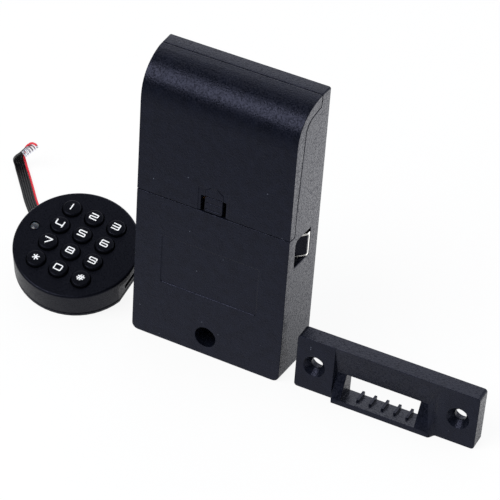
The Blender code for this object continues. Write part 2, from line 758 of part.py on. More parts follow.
def make_housing():
    """Moulded housing: front, sides and top strip, bay, ribs, posts and bosses."""
    housing = body_form("housing", 0, 0, 0)
    cut(housing, body_form("cavity", SIDE_WALL, FACE_WALL, OVER))
    cut(housing, cover_region("cover_space", GAP))
    add_bay(housing)
    add_bosses(housing)
    add_bolt_guides(housing)
    add_motor_mounts(housing)
    add_board_posts(housing)
    cut_housing_openings(housing)
    return as_part(housing, "housing", GRAPHITE)


def add_bay(housing):
    """Walls of the battery bay and the floor that ties it to the front and the sides."""
    outer = BAY_HALF + BAY_WALL
    bay = body_block(
        "bay", (-outer, outer), (0, BOSS_END),
        (BAY_FLOOR - BAY_FLOOR_WALL, BAY_CEILING + BAY_CEILING_WALL))
    keep_inside(bay, body_form("bay_limit", SIDE_WALL + GAP, FACE_WALL + GAP, 0))
    wide = INNER_HALF + SINK
    floor = body_block(
        "bay_floor", (-wide, wide), (FACE_WALL - SINK, BOSS_END),
        (BAY_FLOOR - BAY_FLOOR_WALL, BAY_FLOOR))
    join(housing, join(bay, floor))


def add_bosses(housing):
    """Well for the wood screw and bosses for the case screws."""
    well_end = (FACE_WALL - SINK, BOSS_END)
    join(housing, deep_rod("well", WELL_BOSS_RADIUS, 0, WELL_HEIGHT, well_end))
    for x, z in SCREW_PLACES:
        start = FACE_WALL - SINK if z < SPLIT_HEIGHT else BOSS_END - HIGH_BOSS_LENGTH
        join(housing, deep_rod(
            "boss", SCREW_BOSS_RADIUS, x, z, (start, BOSS_END), sides=SMALL_SIDES))


def add_bolt_guides(housing):
    """Shelves under the bolt's head and tail, and the pad in front of its head."""
    wall = INNER_HALF + SINK
    front = FACE_WALL - SINK
    head_top = BOLT_BASE - GAP
    join(housing, body_block(
        "head_guide", (HEAD_START - GUIDE_LEAD, wall), (front, BOLT_BACK),
        (head_top - GUIDE_THICKNESS, head_top)))
    tail_top = TAIL_BOTTOM - GAP
    tail_end = PINION_X - PINION_RADIUS - MODULE - GAP
    join(housing, body_block(
        "tail_guide", (-wall, tail_end), (front, CORE_BACK),
        (tail_top - GUIDE_THICKNESS, tail_top)))
    pad_start = HEAD_START - PAD_LEAD
    join(housing, body_block(
        "pad", (pad_start, pad_start + PAD_LENGTH), (front, BOLT_FRONT - GAP),
        (BOLT_MIDDLE - PAD_HEIGHT / 2, BOLT_MIDDLE + PAD_HEIGHT / 2)))


def add_motor_mounts(housing):
    """Shelf that the motor stands on and two cradle ribs beside the gearbox."""
    front = FACE_WALL - SINK
    half = GEARBOX_WIDTH / 2 + GAP
    shelf_top = MOTOR_BASE - GAP
    outer = half + CRADLE_THICKNESS
    join(housing, body_block(
        "shelf", (PINION_X - outer, PINION_X + outer), (front, FACE_WALL + SHELF_DEPTH),
        (shelf_top - SHELF_THICKNESS, shelf_top)))
    for side in (-1, 1):
        span = sorted((PINION_X + side * half, PINION_X + side * outer))
        join(housing, body_block(
            "cradle", span, (front, front + CRADLE_DEPTH),
            (GEARBOX_TOP - CRADLE_LENGTH, GEARBOX_TOP)))


def board_post_places():
    """Middle of the four posts that carry the main board."""
    across = BOARD_HALF - POST_INSET
    return [(side * across, height) for side in (-1, 1)
            for height in (BOARD_BASE + POST_INSET, BOARD_TOP - POST_INSET)]


def add_board_posts(housing):
    """Stepped posts: the board sits on the shoulder and the pin passes through it."""
    seat = BOARD_FRONT - GAP
    for x, z in board_post_places():
        post = deep_rod("post", POST_RADIUS, x, z, (FACE_WALL - SINK, seat), sides=SMALL_SIDES)
        pin = (seat - SINK, seat + POST_PIN_LENGTH)
        join(post, deep_rod("pin", POST_PIN_RADIUS, x, z, pin, sides=SMALL_SIDES))
        join(housing, post)


def cut_housing_openings(housing):
    """Bay pocket, bores, bolt window and label recess."""
    cut(housing, body_block(
        "pocket", (-BAY_HALF, BAY_HALF), (FACE_WALL, BAY_BACK), (BAY_FLOOR, BAY_CEILING)))
    cut(housing, deep_rod("well_bore", WELL_RADIUS, 0, WELL_HEIGHT, (-OVER, WELL_DEPTH)))
    through = (WELL_DEPTH - SINK, BODY_DEPTH)
    cut(housing, deep_rod("well_hole", WOOD_SCREW_RADIUS, 0, WELL_HEIGHT, through))
    bore_start = BODY_DEPTH - SCREW_LENGTH - GAP - FIT
    for x, z in SCREW_PLACES:
        cut(housing, deep_rod(
            "bore", SCREW_RADIUS + GAP, x, z, (bore_start, BODY_DEPTH), sides=SMALL_SIDES))
    for side in (-1, 1):
        cut(housing, deep_rod(
            "door_hole", DOOR_HOLE_RADIUS, side * CELL_PITCH, DOOR_HOLE_HEIGHT,
            (BAY_BACK - OVER, BODY_DEPTH), sides=SMALL_SIDES))
    window = window_outline()
    cut(housing, prism("window", [window], INNER_HALF - OVER, BODY_WIDTH / 2 + OVER, 'YZ'))
    label = rounded(
        (-LABEL_WIDTH / 2, LABEL_BASE), (LABEL_WIDTH / 2, LABEL_BASE + LABEL_HEIGHT), LABEL_CORNER)
    cut(housing, prism("label", [label], deep(-OVER), deep(LABEL_DEPTH), 'XZ'))


def window_outline():
    """Bolt window in the right side as (y, z), its upper front corner round."""
    front, back = deep(BOLT_FRONT - WINDOW_FRONT_SPACE), deep(BOLT_BACK + GAP)
    bottom, top = BOLT_BASE - GAP, BOLT_TOP + WINDOW_HEADROOM
    points = [(front, bottom), (back, bottom), (back, top)]
    for step in range(CORNER_STEPS + 1):
        angle = math.pi / 2 * (1 + step / CORNER_STEPS)
        points.append((front + WINDOW_CORNER * (1 + math.cos(angle)),
                       top - WINDOW_CORNER * (1 - math.sin(angle))))
    return points


def make_back_plate():
    """Inset plate with screw seats, door holes, cable slot, bolt rib and spring peg."""
    half = INNER_HALF + SIDE_FLARE * PLATE_FRONT / BODY_DEPTH - GAP
    edge = FACE_WALL + GAP
    outline = rounded((-half, edge), (half, BODY_HEIGHT - edge), BODY_CORNER - SIDE_WALL)
    plate = prism("plate", [outline], deep(PLATE_FRONT), deep(BODY_DEPTH), 'XZ')
    rib_start = HEAD_START - BOLT_RIB_LEAD
    join(plate, body_block(
        "bolt_rib", (rib_start, rib_start + BOLT_RIB_LENGTH),
        (BOLT_BACK + GAP, PLATE_FRONT + SINK),
        (BOLT_MIDDLE - BOLT_RIB_HEIGHT / 2, BOLT_MIDDLE + BOLT_RIB_HEIGHT / 2)))
    peg = (CORE_BACK + PEG_END_SPACE, PLATE_FRONT + SINK)
    join(plate, deep_rod("peg", PEG_RADIUS, PEG_PLATE_X, BOLT_MIDDLE, peg, sides=SMALL_SIDES))
    past = (PLATE_FRONT - OVER, BODY_DEPTH + OVER)
    cut(plate, deep_rod("well_hole", WOOD_SCREW_RADIUS, 0, WELL_HEIGHT, past, sides=SMALL_SIDES))
    for side in (-1, 1):
        cut(plate, deep_rod(
            "door_hole", DOOR_HOLE_RADIUS, side * CELL_PITCH, DOOR_HOLE_HEIGHT, past,
            sides=SMALL_SIDES))
    for x, z in SCREW_PLACES:
        seat = turned("seat", [
            (0, OVER), (SCREW_HEAD_RADIUS + GAP, OVER), (SCREW_HEAD_RADIUS + GAP, -FIT),
            (SCREW_RADIUS + GAP, -SCREW_HEAD_HEIGHT - FIT),
            (SCREW_RADIUS + GAP, -PLATE_THICKNESS - OVER), (0, -PLATE_THICKNESS - OVER),
        ], SMALL_SIDES)
        seat.data.transform(facing_back(x, z))
        cut(plate, seat)
    slot = rounded(
        (SOCKET_X - CABLE_SLOT_WIDTH / 2, SOCKET_Z - CABLE_SLOT_HEIGHT / 2),
        (SOCKET_X + CABLE_SLOT_WIDTH / 2, SOCKET_Z + CABLE_SLOT_HEIGHT / 2), CABLE_SLOT_CORNER)
    cut(plate, prism("slot", [slot], deep(past[0]), deep(past[1]), 'XZ'))
    return as_part(plate, "back_plate", GRAPHITE)


def facing_back(x, z):
    """Place that turns +Z of a turned piece to +Y at the body's back face."""
    return Matrix.Translation((x, deep(BODY_DEPTH), z)) @ Matrix.Rotation(-math.pi / 2, 4, 'X')


def make_screw(name, radius, head_radius, head_height, length, sides):
    """Countersunk screw with a round driver socket, its head's face at height zero."""
    socket = [(0, -SCREW_SOCKET_DEPTH), (SCREW_SOCKET_RADIUS, -SCREW_SOCKET_DEPTH),
              (SCREW_SOCKET_RADIUS, 0)]
    body = [(head_radius, 0), (radius, -head_height), (radius, -length + radius),
            (radius / 2, -length), (0, -length)]
    return as_part(turned(name, socket + body, sides), name, STEEL)


def make_case_screws():
    """The four screws that hold the back plate."""
    for index, (x, z) in enumerate(SCREW_PLACES):
        screw = make_screw(
            f"case_screw_{index + 1}", SCREW_RADIUS, SCREW_HEAD_RADIUS, SCREW_HEAD_HEIGHT,
            SCREW_LENGTH, SMALL_SIDES)
        screw.location = (x, deep(BODY_DEPTH) - FIT, z)
        screw.rotation_euler = (-math.pi / 2, 0, 0)


def moved_with(item, pivot):
    """Parent a piece that is drawn in place to the empty on its joint's axis."""
    bpy.context.view_layer.update()
    item.parent = pivot
    item.matrix_parent_inverse = pivot.matrix_world.inverted()
    return item


def pivot_at(name, place, parent=None):
    """An empty on a joint's axis."""
    pivot = bpy.data.objects.new(name, None)
    GUIDES.objects.link(pivot)
    pivot.location = place
    pivot.empty_display_size = OVER
    if parent is not None:
        moved_with(pivot, parent)
    bpy.context.view_layer.update()
    return pivot


def make_battery_cover():
    """Cover shell with hooks under the top strip, a thumb recess and the tab's slots."""
    cover = body_form("cover", 0, 0, 0)
    cut(cover, body_form("inside", SIDE_WALL, FACE_WALL, OVER))
    keep_inside(cover, cover_region("cover_limit", 0))
    parting = PARTING_SHARES[-1][0] * BODY_DEPTH
    hook_top = BODY_HEIGHT - FACE_WALL - GAP
    for side in (-1, 1):
        span = sorted((side * (HOOK_X - HOOK_WIDTH / 2), side * (HOOK_X + HOOK_WIDTH / 2)))
        join(cover, body_block(
            "hook", span, (parting - HOOK_ROOT, parting + HOOK_REACH),
            (hook_top - HOOK_THICKNESS, hook_top)))
    thumb = rounded(
        (-THUMB_WIDTH / 2, SPLIT_HEIGHT - OVER), (THUMB_WIDTH / 2, SPLIT_HEIGHT + THUMB_LENGTH),
        THUMB_CORNER)
    cut(cover, prism("thumb", [thumb], deep(-OVER), deep(THUMB_DEPTH), 'XZ'))
    root = SPLIT_HEIGHT + FIT + TAB_LENGTH
    half, wide = TAB_WIDTH / 2 + GAP, TAB_WIDTH / 2 + TAB_SLOT
    base = SPLIT_HEIGHT - OVER
    slots = [(-wide, base), (wide, base), (wide, root), (half, root), (half, root + GAP),
             (-half, root + GAP), (-half, root), (-wide, root)]
    cut(cover, prism("slots", [slots], deep(-OVER), deep(FACE_WALL + OVER), 'XZ'))
    pivot = pivot_at("cover_pivot", (0, deep(parting), BODY_HEIGHT - FIT))
    as_part(cover, "battery_cover", GRAPHITE)
    moved_with(cover, pivot)
    make_cover_tab(pivot)


def make_cover_tab(cover_pivot):
    """Spring tab between the slots, with grip grooves across its face."""
    base = SPLIT_HEIGHT + FIT
    front = THUMB_DEPTH
    outline = rounded(
        (-TAB_WIDTH / 2, base), (TAB_WIDTH / 2, base + TAB_LENGTH), TAB_CORNER, FEW_STEPS)
    tab = prism("tab", [outline], deep(front), deep(front + TAB_THICKNESS), 'XZ')
    for share in TAB_GROOVE_SHARES:
        middle = base + share * TAB_LENGTH
        cut(tab, body_block(
            "groove", (-TAB_WIDTH / 2 + TAB_GROOVE_WIDTH, TAB_WIDTH / 2 - TAB_GROOVE_WIDTH),
            (front - OVER, front + TAB_GROOVE_DEPTH),
            (middle - TAB_GROOVE_WIDTH / 2, middle + TAB_GROOVE_WIDTH / 2)))
    place = (0, deep(front + TAB_THICKNESS), base + TAB_LENGTH)
    pivot = pivot_at("tab_pivot", place, cover_pivot)
    as_part(tab, "cover_tab", GRAPHITE)
    moved_with(tab, pivot)


def cell_x(index):
    """X of a cell's axis, counted from the left."""
    return (index - (CELL_COUNT - 1) / 2) * CELL_PITCH


def spring_below(index):
    """Whether a cell stands on its spring; neighbours alternate."""
    return index % 2 == 0


def make_cells():
    """Four cells, each with its nub away from its spring."""
    radius = CELL_DIAMETER / 2
    body = CELL_LENGTH - NUB_LENGTH
    profile = [
        (0, CELL_LENGTH), (NUB_RADIUS, CELL_LENGTH), (NUB_RADIUS, body), (radius - CELL_RIM, body),
        (radius, body - CELL_RIM), (radius, CELL_RIM), (radius - CELL_RIM, 0), (0, 0),
    ]
    for index in range(CELL_COUNT):
        name = f"battery_cell_{index + 1}"
        cell = as_part(turned(name, profile, CELL_SIDES), name, CELL_WRAP)
        if spring_below(index):
            cell.location = (cell_x(index), deep(CELL_DEPTH), CONTACT_TOP + 2 * FIT + SPRING_HEIGHT)
        else:
            cell.rotation_euler = (math.pi, 0, 0)
            cell.location = (cell_x(index), deep(CELL_DEPTH), CONTACT_TOP + FIT + CELL_LENGTH)


def make_contacts():
    """Contact plates: two pairs below, one pair and two singles above."""
    low = CONTACT_TOP - CONTACT_THICKNESS
    high = CONTACT_TOP + CELL_STACK
    for name, first, last, base in (
            ("contact_bottom_left", 0, 1, low), ("contact_bottom_right", 2, 3, low),
            ("contact_top_left", 0, 0, high), ("contact_top_middle", 1, 2, high),
            ("contact_top_right", 3, 3, high)):
        left = cell_x(first) - CONTACT_WIDTH / 2
        right = cell_x(last) + CONTACT_WIDTH / 2
        outline = rounded(
            (left, deep(CELL_DEPTH) - CONTACT_DEPTH / 2),
            (right, deep(CELL_DEPTH) + CONTACT_DEPTH / 2), CONTACT_CORNER, FEW_STEPS)
        as_part(prism(name, [outline], base, base + CONTACT_THICKNESS), name, NICKEL)


def make_contact_springs():
    """Cone springs: a helix that narrows from the contact plate to the cell."""
    wire = SPRING_WIRE / 2
    share = np.linspace(0, 1, SPRING_TURNS * CURL_POINTS + 1)
    angle = 2 * math.pi * SPRING_TURNS * share
    radius = SPRING_BASE_RADIUS + (SPRING_TOP_RADIUS - SPRING_BASE_RADIUS) * share
    height = wire + (SPRING_HEIGHT - SPRING_WIRE) * share
    points = np.stack([radius * np.cos(angle), radius * np.sin(angle), height], axis=1)
    report_least_gap("contact spring", points, SPRING_WIRE, CURL_POINTS)
    for index in range(CELL_COUNT):
        name = f"contact_spring_{index + 1}"
        spring = as_part(tube(name, points.tolist(), wire), name, NICKEL)
        if spring_below(index):
            spring.location = (cell_x(index), deep(CELL_DEPTH), CONTACT_TOP + FIT)
        else:
            spring.rotation_euler = (math.pi, 0, 0)
            top = CONTACT_TOP + CELL_STACK - FIT
            spring.location = (cell_x(index), deep(CELL_DEPTH), top)


def report_least_gap(label, points, wire, per_turn):
    """Print the least clear distance between stretches of one wire half a turn or more apart."""
    apart = np.linalg.norm(points[:, None] - points[None], axis=2)
    index = np.arange(len(points))
    far = np.abs(index[:, None] - index[None]) >= per_turn // 2 + 1
    least = float(apart[far].min() - wire) * MM_PER_METRE
    print(label, "least gap in mm:", round(least, 3))


def bolt_outline(start, back):
    """Bolt head seen from above as (x, y), its front corner bevelled."""
    return [
        (start, deep(BOLT_FRONT)), (BOLT_TIP - BOLT_BEVEL_LENGTH, deep(BOLT_FRONT)),
        (BOLT_TIP, deep(BOLT_BACK - BOLT_TIP_FLAT)), (BOLT_TIP, deep(back)), (start, deep(back)),
    ]


def make_bolt():
    """Bolt head, rack tail and spring peg in one moulding."""
    core = STRIP_THICKNESS + FIT
    bolt = prism("bolt", [bolt_outline(HEAD_START, CORE_BACK)], BOLT_BASE + core, BOLT_TOP - core)
    join(bolt, body_block(
        "tail", (TAIL_START, HEAD_START + SINK), (RACK_ROOT, CORE_BACK - FIT),
        (TAIL_BOTTOM, TAIL_BOTTOM + TAIL_HEIGHT)))
    for outline in rack_teeth():
        join(bolt, prism("tooth", [outline], TAIL_BOTTOM + FIT, TAIL_BOTTOM + TAIL_HEIGHT - FIT))
    peg = (CORE_BACK - SINK, PLATE_FRONT - PEG_END_SPACE)
    join(bolt, deep_rod("peg", PEG_RADIUS, PEG_TAIL_X, BOLT_MIDDLE, peg, sides=SMALL_SIDES))
    return as_part(bolt, "bolt", BLACK)


def rack_teeth():
    """Outline of each rack tooth as (x, y): straight sides, pointing to the front."""
    pitch = math.pi * MODULE
    tip = MODULE * ADDENDUM_SHARE
    root = MODULE * DEDENDUM_SHARE
    half = pitch / 4 - TOOTH_SLIM
    half_tip = half - tip * math.tan(PRESSURE_ANGLE)
    half_root = half + root * math.tan(PRESSURE_ANGLE)
    first = PINION_X + pitch / 2
    front, back, sunk = deep(PITCH_LINE - tip), deep(RACK_ROOT), deep(RACK_ROOT + SINK)
    outlines = []
    for index in range(RACK_TEETH):
        middle = first + (index - RACK_TEETH + 2) * pitch
        outlines.append([
            (middle - half_root, back), (middle - half_tip, front), (middle + half_tip, front),
            (middle + half_root, back), (middle + half_root, sunk), (middle - half_root, sunk),
        ])
    return outlines


def make_bolt_strip():
    """Folded steel strip on the bolt's top, back and bottom."""
    start = BOLT_TIP - STRIP_LENGTH
    outline = bolt_outline(start, BOLT_BACK)
    strip = prism("strip", [outline], BOLT_BASE, BOLT_BASE + STRIP_THICKNESS)
    join(strip, prism("top", [outline], BOLT_TOP - STRIP_THICKNESS, BOLT_TOP))
    join(strip, body_block(
        "web", (start, BOLT_TIP), (BOLT_BACK - STRIP_THICKNESS, BOLT_BACK), (BOLT_BASE, BOLT_TOP)))
    return as_part(strip, "bolt_strip", STEEL)


def pinion_outline():
    """Pinion as (x, y) about its axis, with a tooth at +Y."""
    tip = PINION_RADIUS + MODULE * ADDENDUM_SHARE
    root = PINION_RADIUS - MODULE * DEDENDUM_SHARE
    half = math.pi / 2 / PINION_TEETH - TOOTH_SLIM / PINION_RADIUS
    slope = math.tan(PRESSURE_ANGLE) / PINION_RADIUS
    half_tip = half - (tip - PINION_RADIUS) * slope * TIP_FLANK_SHARE
    half_root = half + (PINION_RADIUS - root) * slope * ROOT_FLANK_SHARE
    points = []
    for index in range(PINION_TEETH):
        middle = math.pi / 2 + 2 * math.pi * index / PINION_TEETH
        for radius, angle in (
                (root, -half_root), (PINION_RADIUS, -half), (tip, -half_tip),
                (tip, half_tip), (PINION_RADIUS, half), (root, half_root)):
            points.append((radius * math.cos(middle + angle), radius * math.sin(middle + angle)))
    return points


def make_drive():
    """Motor, gearbox, output shaft and pinion, stacked on one vertical axis."""
    y = deep(DRIVE_DEPTH)
    can = rod("can", MOTOR_RADIUS, (0, 0, 0), (0, 0, MOTOR_LENGTH))
    keep_inside(can, block(
        "flats", (-MOTOR_RADIUS - OVER, -MOTOR_FLAT / 2, -OVER),
        (MOTOR_RADIUS + OVER, MOTOR_FLAT / 2, MOTOR_LENGTH + OVER)))
    as_part(can, "motor_can", STEEL).location = (PINION_X, y, MOTOR_BASE)

    half = GEARBOX_WIDTH / 2
    outline = rounded(
        (-half, -GEARBOX_DEPTH / 2), (half, GEARBOX_DEPTH / 2), GEARBOX_CORNER, FEW_STEPS)
    box = prism("box", [outline], 0, GEARBOX_HEIGHT)
    bore = GEARBOX_HEIGHT - GEARBOX_BORE_DEPTH
    cut(box, rod(
        "bore", SHAFT_RADIUS + GAP, (0, 0, bore), (0, 0, GEARBOX_HEIGHT + OVER),
        sides=SMALL_SIDES))
    as_part(box, "gearbox", BRASS).location = (PINION_X, y, GEARBOX_BASE)

    middle = BOLT_MIDDLE
    pivot = pivot_at("pinion_pivot", (PINION_X, y, middle))
    bottom = GEARBOX_BASE + bore + GAP - middle
    top = PINION_HEIGHT / 2 + SHAFT_END
    shaft = rod("shaft", SHAFT_RADIUS, (0, 0, bottom), (0, 0, top), sides=SMALL_SIDES)
    as_part(shaft, "output_shaft", STEEL).parent = pivot
    gear = prism(
        "gear", [pinion_outline(), ring(SHAFT_RADIUS + FIT, SMALL_SIDES)],
        -PINION_HEIGHT / 2, PINION_HEIGHT / 2)
    as_part(gear, "pinion", WHITE_NYLON).parent = pivot


def make_bolt_spring():
    """Extension spring: a loop round each peg and a helix between them."""
    left, right = PEG_TAIL_X, PEG_PLATE_X
    y, z = deep(BOLT_SPRING_DEPTH), BOLT_MIDDLE
    loop = np.linspace(LOOP_FROM, LOOP_TO, LOOP_POINTS)
    lift = PEG_LOOP_RADIUS
    first = np.stack([
        left + lift * np.sin(loop), np.full(LOOP_POINTS, y), z + lift * np.cos(loop)], axis=1)
    start = left + PEG_LOOP_RADIUS + HOOK_LEAD
    end = right - PEG_LOOP_RADIUS - HOOK_LEAD
    share = np.linspace(0, 1, BOLT_SPRING_TURNS * CURL_POINTS + 1)
    angle = 2 * math.pi * BOLT_SPRING_TURNS * share
    coil = np.stack([
        start + (end - start) * share, y + BOLT_SPRING_RADIUS * np.sin(angle),
        z + BOLT_SPRING_RADIUS * np.cos(angle)], axis=1)
    last = first[::-1].copy()
    last[:, 0] = left + right - last[:, 0]
    points = np.concatenate([first, coil, last])
    report_least_gap("bolt spring", coil, BOLT_SPRING_WIRE, CURL_POINTS)
    spring = tube("spring", points.tolist(), BOLT_SPRING_WIRE / 2)
    return as_part(spring, "bolt_spring", STEEL)


def make_main_board():
    """Circuit board on its posts, with the chip, the buzzer and the cable socket."""
    outlines = [rounded(
        (-BOARD_HALF, BOARD_BASE), (BOARD_HALF, BOARD_TOP), BOARD_CORNER, FEW_STEPS)]
    for x, z in board_post_places():
        outlines.append(ring(POST_PIN_RADIUS + GAP, TINY_SIDES, (x, z)))
    board = prism("board", outlines, deep(BOARD_FRONT), deep(BOARD_BACK), 'XZ')
    as_part(board, "main_board", BOARD_GREEN)

    seat = BOARD_FRONT - FIT
    chip = body_block(
        "chip", (CHIP_X - CHIP_SIZE / 2, CHIP_X + CHIP_SIZE / 2), (seat - CHIP_HEIGHT, seat),
        (CHIP_Z - CHIP_SIZE / 2, CHIP_Z + CHIP_SIZE / 2))
    as_part(chip, "controller_chip", CHIP_BLACK)
    buzzer = deep_rod("buzzer", BUZZER_RADIUS, CHIP_X, BUZZER_Z, (seat - BUZZER_HEIGHT, seat))
    port = (seat - BUZZER_HEIGHT - OVER, seat - BUZZER_HEIGHT + BUZZER_PORT_DEPTH)
    cut(buzzer, deep_rod(
        "port", BUZZER_PORT_RADIUS, CHIP_X, BUZZER_Z, port, sides=SMALL_SIDES))
    as_part(buzzer, "buzzer", BLACK)

    back = BOARD_BACK + FIT
    half_x, half_z = SOCKET_WIDTH / 2, SOCKET_HEIGHT / 2
    socket = body_block(
        "socket", (SOCKET_X - half_x, SOCKET_X + half_x), (back, back + SOCKET_DEPTH),
        (SOCKET_Z - half_z, SOCKET_Z + half_z))
    cut(socket, body_block(
        "mouth", (SOCKET_X - half_x + SOCKET_WALL, SOCKET_X + half_x - SOCKET_WALL),
        (back + SOCKET_WALL, back + SOCKET_DEPTH + OVER),
        (SOCKET_Z - half_z + SOCKET_WALL, SOCKET_Z + half_z - SOCKET_WALL)))
    as_part(socket, "cable_socket", WHITE_NYLON)


def keypad_frame():
    """Empty at the middle of the keypad's face: +Z out of the face, +X along a key row."""
    frame = pivot_at("keypad_frame", (FACE_X, deep(FACE_DEPTH), FACE_HEIGHT))
    lean = Matrix.Rotation(FACE_TURN, 4, 'Z') @ Matrix.Rotation(FACE_TILT, 4, 'X')
    frame.rotation_euler = (lean @ Matrix.Rotation(FACE_SPIN, 4, 'Z')).to_euler()
    bpy.context.view_layer.update()
    return frame


def key_places():
    """Name and place of each key on the face, row by row from the top."""
    rows, columns = len(KEY_NAMES), len(KEY_NAMES[0])
    for row, names in enumerate(KEY_NAMES):
        for column, name in enumerate(names):
            across = (column - (columns - 1) / 2) * KEY_PITCH_ACROSS
            up = ((rows - 1) / 2 - row) * KEY_PITCH_UP
            yield name, across, up


def post_places():
    """Middle of each screw post round the keypad."""
    return [(POST_CIRCLE * math.cos(a), POST_CIRCLE * math.sin(a)) for a in KEYPAD_POST_ANGLES]


def upright(name, radius, place, low, high, sides=SMALL_SIDES):
    """A rod along the keypad's axis."""
    return rod(name, radius, (*place, low), (*place, high), sides=sides)


def make_keypad_shell(frame):
    """Round cap with key holes, lens hole, screw posts, a flat and the power slot."""
    inner = FACE_RADIUS - SHELL_WALL
    lean = (BACK_RADIUS - FACE_RADIUS) / KEYPAD_THICKNESS
    low_outer = FACE_RADIUS - lean * SHELL_BOTTOM
    corner = FACE_EDGE * FACE_EDGE_SHARE
    shell = turned("shell", [
        (0, 0), (FACE_RADIUS - FACE_EDGE, 0), (FACE_RADIUS - corner, -corner),
        (FACE_RADIUS, -FACE_EDGE), (low_outer, SHELL_BOTTOM), (inner, SHELL_BOTTOM),
        (inner, -SHELL_TOP), (0, -SHELL_TOP),
    ], FACE_SIDES)
    trim = FLAT_DISTANCE - SHELL_WALL
    wall = block(
        "flat_wall", (trim, -FLAT_DISTANCE / 2, SHELL_BOTTOM),
        (FLAT_DISTANCE, FLAT_DISTANCE / 2, -SHELL_TOP / 2))
    keep_inside(wall, turned("round", [
        (0, 0), (FACE_RADIUS - SINK, 0), (FACE_RADIUS - SINK, SHELL_BOTTOM), (0, SHELL_BOTTOM)],
        FACE_SIDES))
    join(shell, wall)
    cut(shell, block(
        "flat", (FLAT_DISTANCE, -FACE_RADIUS, SHELL_BOTTOM - OVER),
        (BACK_RADIUS + OVER, FACE_RADIUS, -FLAT_START)))
    for place in post_places():
        join(shell, upright("post", KEYPAD_POST_RADIUS, place, SHELL_BOTTOM, -SHELL_TOP + SINK))
        cut(shell, upright(
            "bore", KEYPAD_SCREW_RADIUS + GAP, place, SHELL_BOTTOM - OVER,
            -KEYPAD_THICKNESS + KEYPAD_SCREW_LENGTH + GAP, TINY_SIDES))
    for _, across, up in key_places():
        cut(shell, upright(
            "key_hole", KEY_RADIUS + GAP, (across, up), -SHELL_TOP - OVER, OVER, KEY_SIDES))
    cut(shell, upright("lens_hole", LENS_RADIUS + GAP, (LENS_X, 0), -SHELL_TOP - OVER, OVER))
    cut(shell, block(
        "slot", (trim - OVER, -PORT_WIDTH / 2, -PORT_DROP - PORT_HEIGHT / 2),
        (FLAT_DISTANCE + OVER, PORT_WIDTH / 2, -PORT_DROP + PORT_HEIGHT / 2)))
    as_part(shell, "keypad_shell", BLACK).parent = frame


def make_keypad_back(frame):
    """Back disc with its screw seats and the hollow spigot that passes through the door."""
    flat_cut = block(
        "flat", (FLAT_DISTANCE, -FACE_RADIUS, -KEYPAD_THICKNESS - OVER),
        (BACK_RADIUS + OVER, FACE_RADIUS, -FLAT_START))
    end = -KEYPAD_THICKNESS - SPIGOT_LENGTH
    back = turned("back", [
        (SPIGOT_BORE, KEYPAD_BACK_TOP), (BACK_RADIUS, KEYPAD_BACK_TOP),
        (BACK_RADIUS, -KEYPAD_THICKNESS), (SPIGOT_RADIUS, -KEYPAD_THICKNESS),
        (SPIGOT_RADIUS, end), (SPIGOT_BORE, end), (SPIGOT_BORE, KEYPAD_BACK_TOP),
    ], FACE_SIDES)
    cut(back, flat_cut)
    for across, up in post_places():
        seat = turned("seat", [
            (0, OVER), (KEYPAD_SCREW_HEAD_RADIUS + GAP, OVER),
            (KEYPAD_SCREW_HEAD_RADIUS + GAP, -FIT),
            (KEYPAD_SCREW_RADIUS + GAP, -KEYPAD_SCREW_HEAD_HEIGHT - FIT),
            (KEYPAD_SCREW_RADIUS + GAP, -KEYPAD_BACK_THICKNESS - OVER),
            (0, -KEYPAD_BACK_THICKNESS - OVER),
        ], SMALL_SIDES)
        seat.data.transform(
            Matrix.Translation((across, up, -KEYPAD_THICKNESS)) @ Matrix.Rotation(math.pi, 4, 'X'))
        cut(back, seat)
    notch = block(
        "notch", (0, -NOTCH_WIDTH / 2, end - OVER),
        (SPIGOT_RADIUS + OVER, NOTCH_WIDTH / 2, end + NOTCH_HEIGHT))
    notch.data.transform(Matrix.Rotation(cable_heading(), 4, 'Z'))
    cut(back, notch)
    as_part(back, "keypad_back", BLACK).parent = frame


def cable_heading():
    """Angle in the keypad's plane at which the cable leaves the spigot."""
    lean = Matrix.Rotation(FACE_TURN, 3, 'Z') @ Matrix.Rotation(FACE_TILT, 3, 'X')
    lean = lean @ Matrix.Rotation(FACE_SPIN, 3, 'Z')
    run = Vector(CABLE_ROUTE[1]) - Vector(CABLE_ROUTE[0])
    local = lean.inverted() @ run
    return math.atan2(local.y, local.x)


def make_keys(frame):
    """Twelve keys with a guiding flange under the face."""
    profile = [
        (0, KEY_RISE), (KEY_RADIUS - KEY_EDGE, KEY_RISE), (KEY_RADIUS, KEY_RISE - KEY_EDGE),
        (KEY_RADIUS, FLANGE_TOP), (KEY_FLANGE_RADIUS, FLANGE_TOP),
        (KEY_FLANGE_RADIUS, FLANGE_BOTTOM), (0, FLANGE_BOTTOM),
    ]
    for name, across, up in key_places():
        key = as_part(turned(f"key_{name}", profile, KEY_SIDES), f"key_{name}", KEY_RUBBER)
        key.parent = frame
        key.location = (across, up, 0)


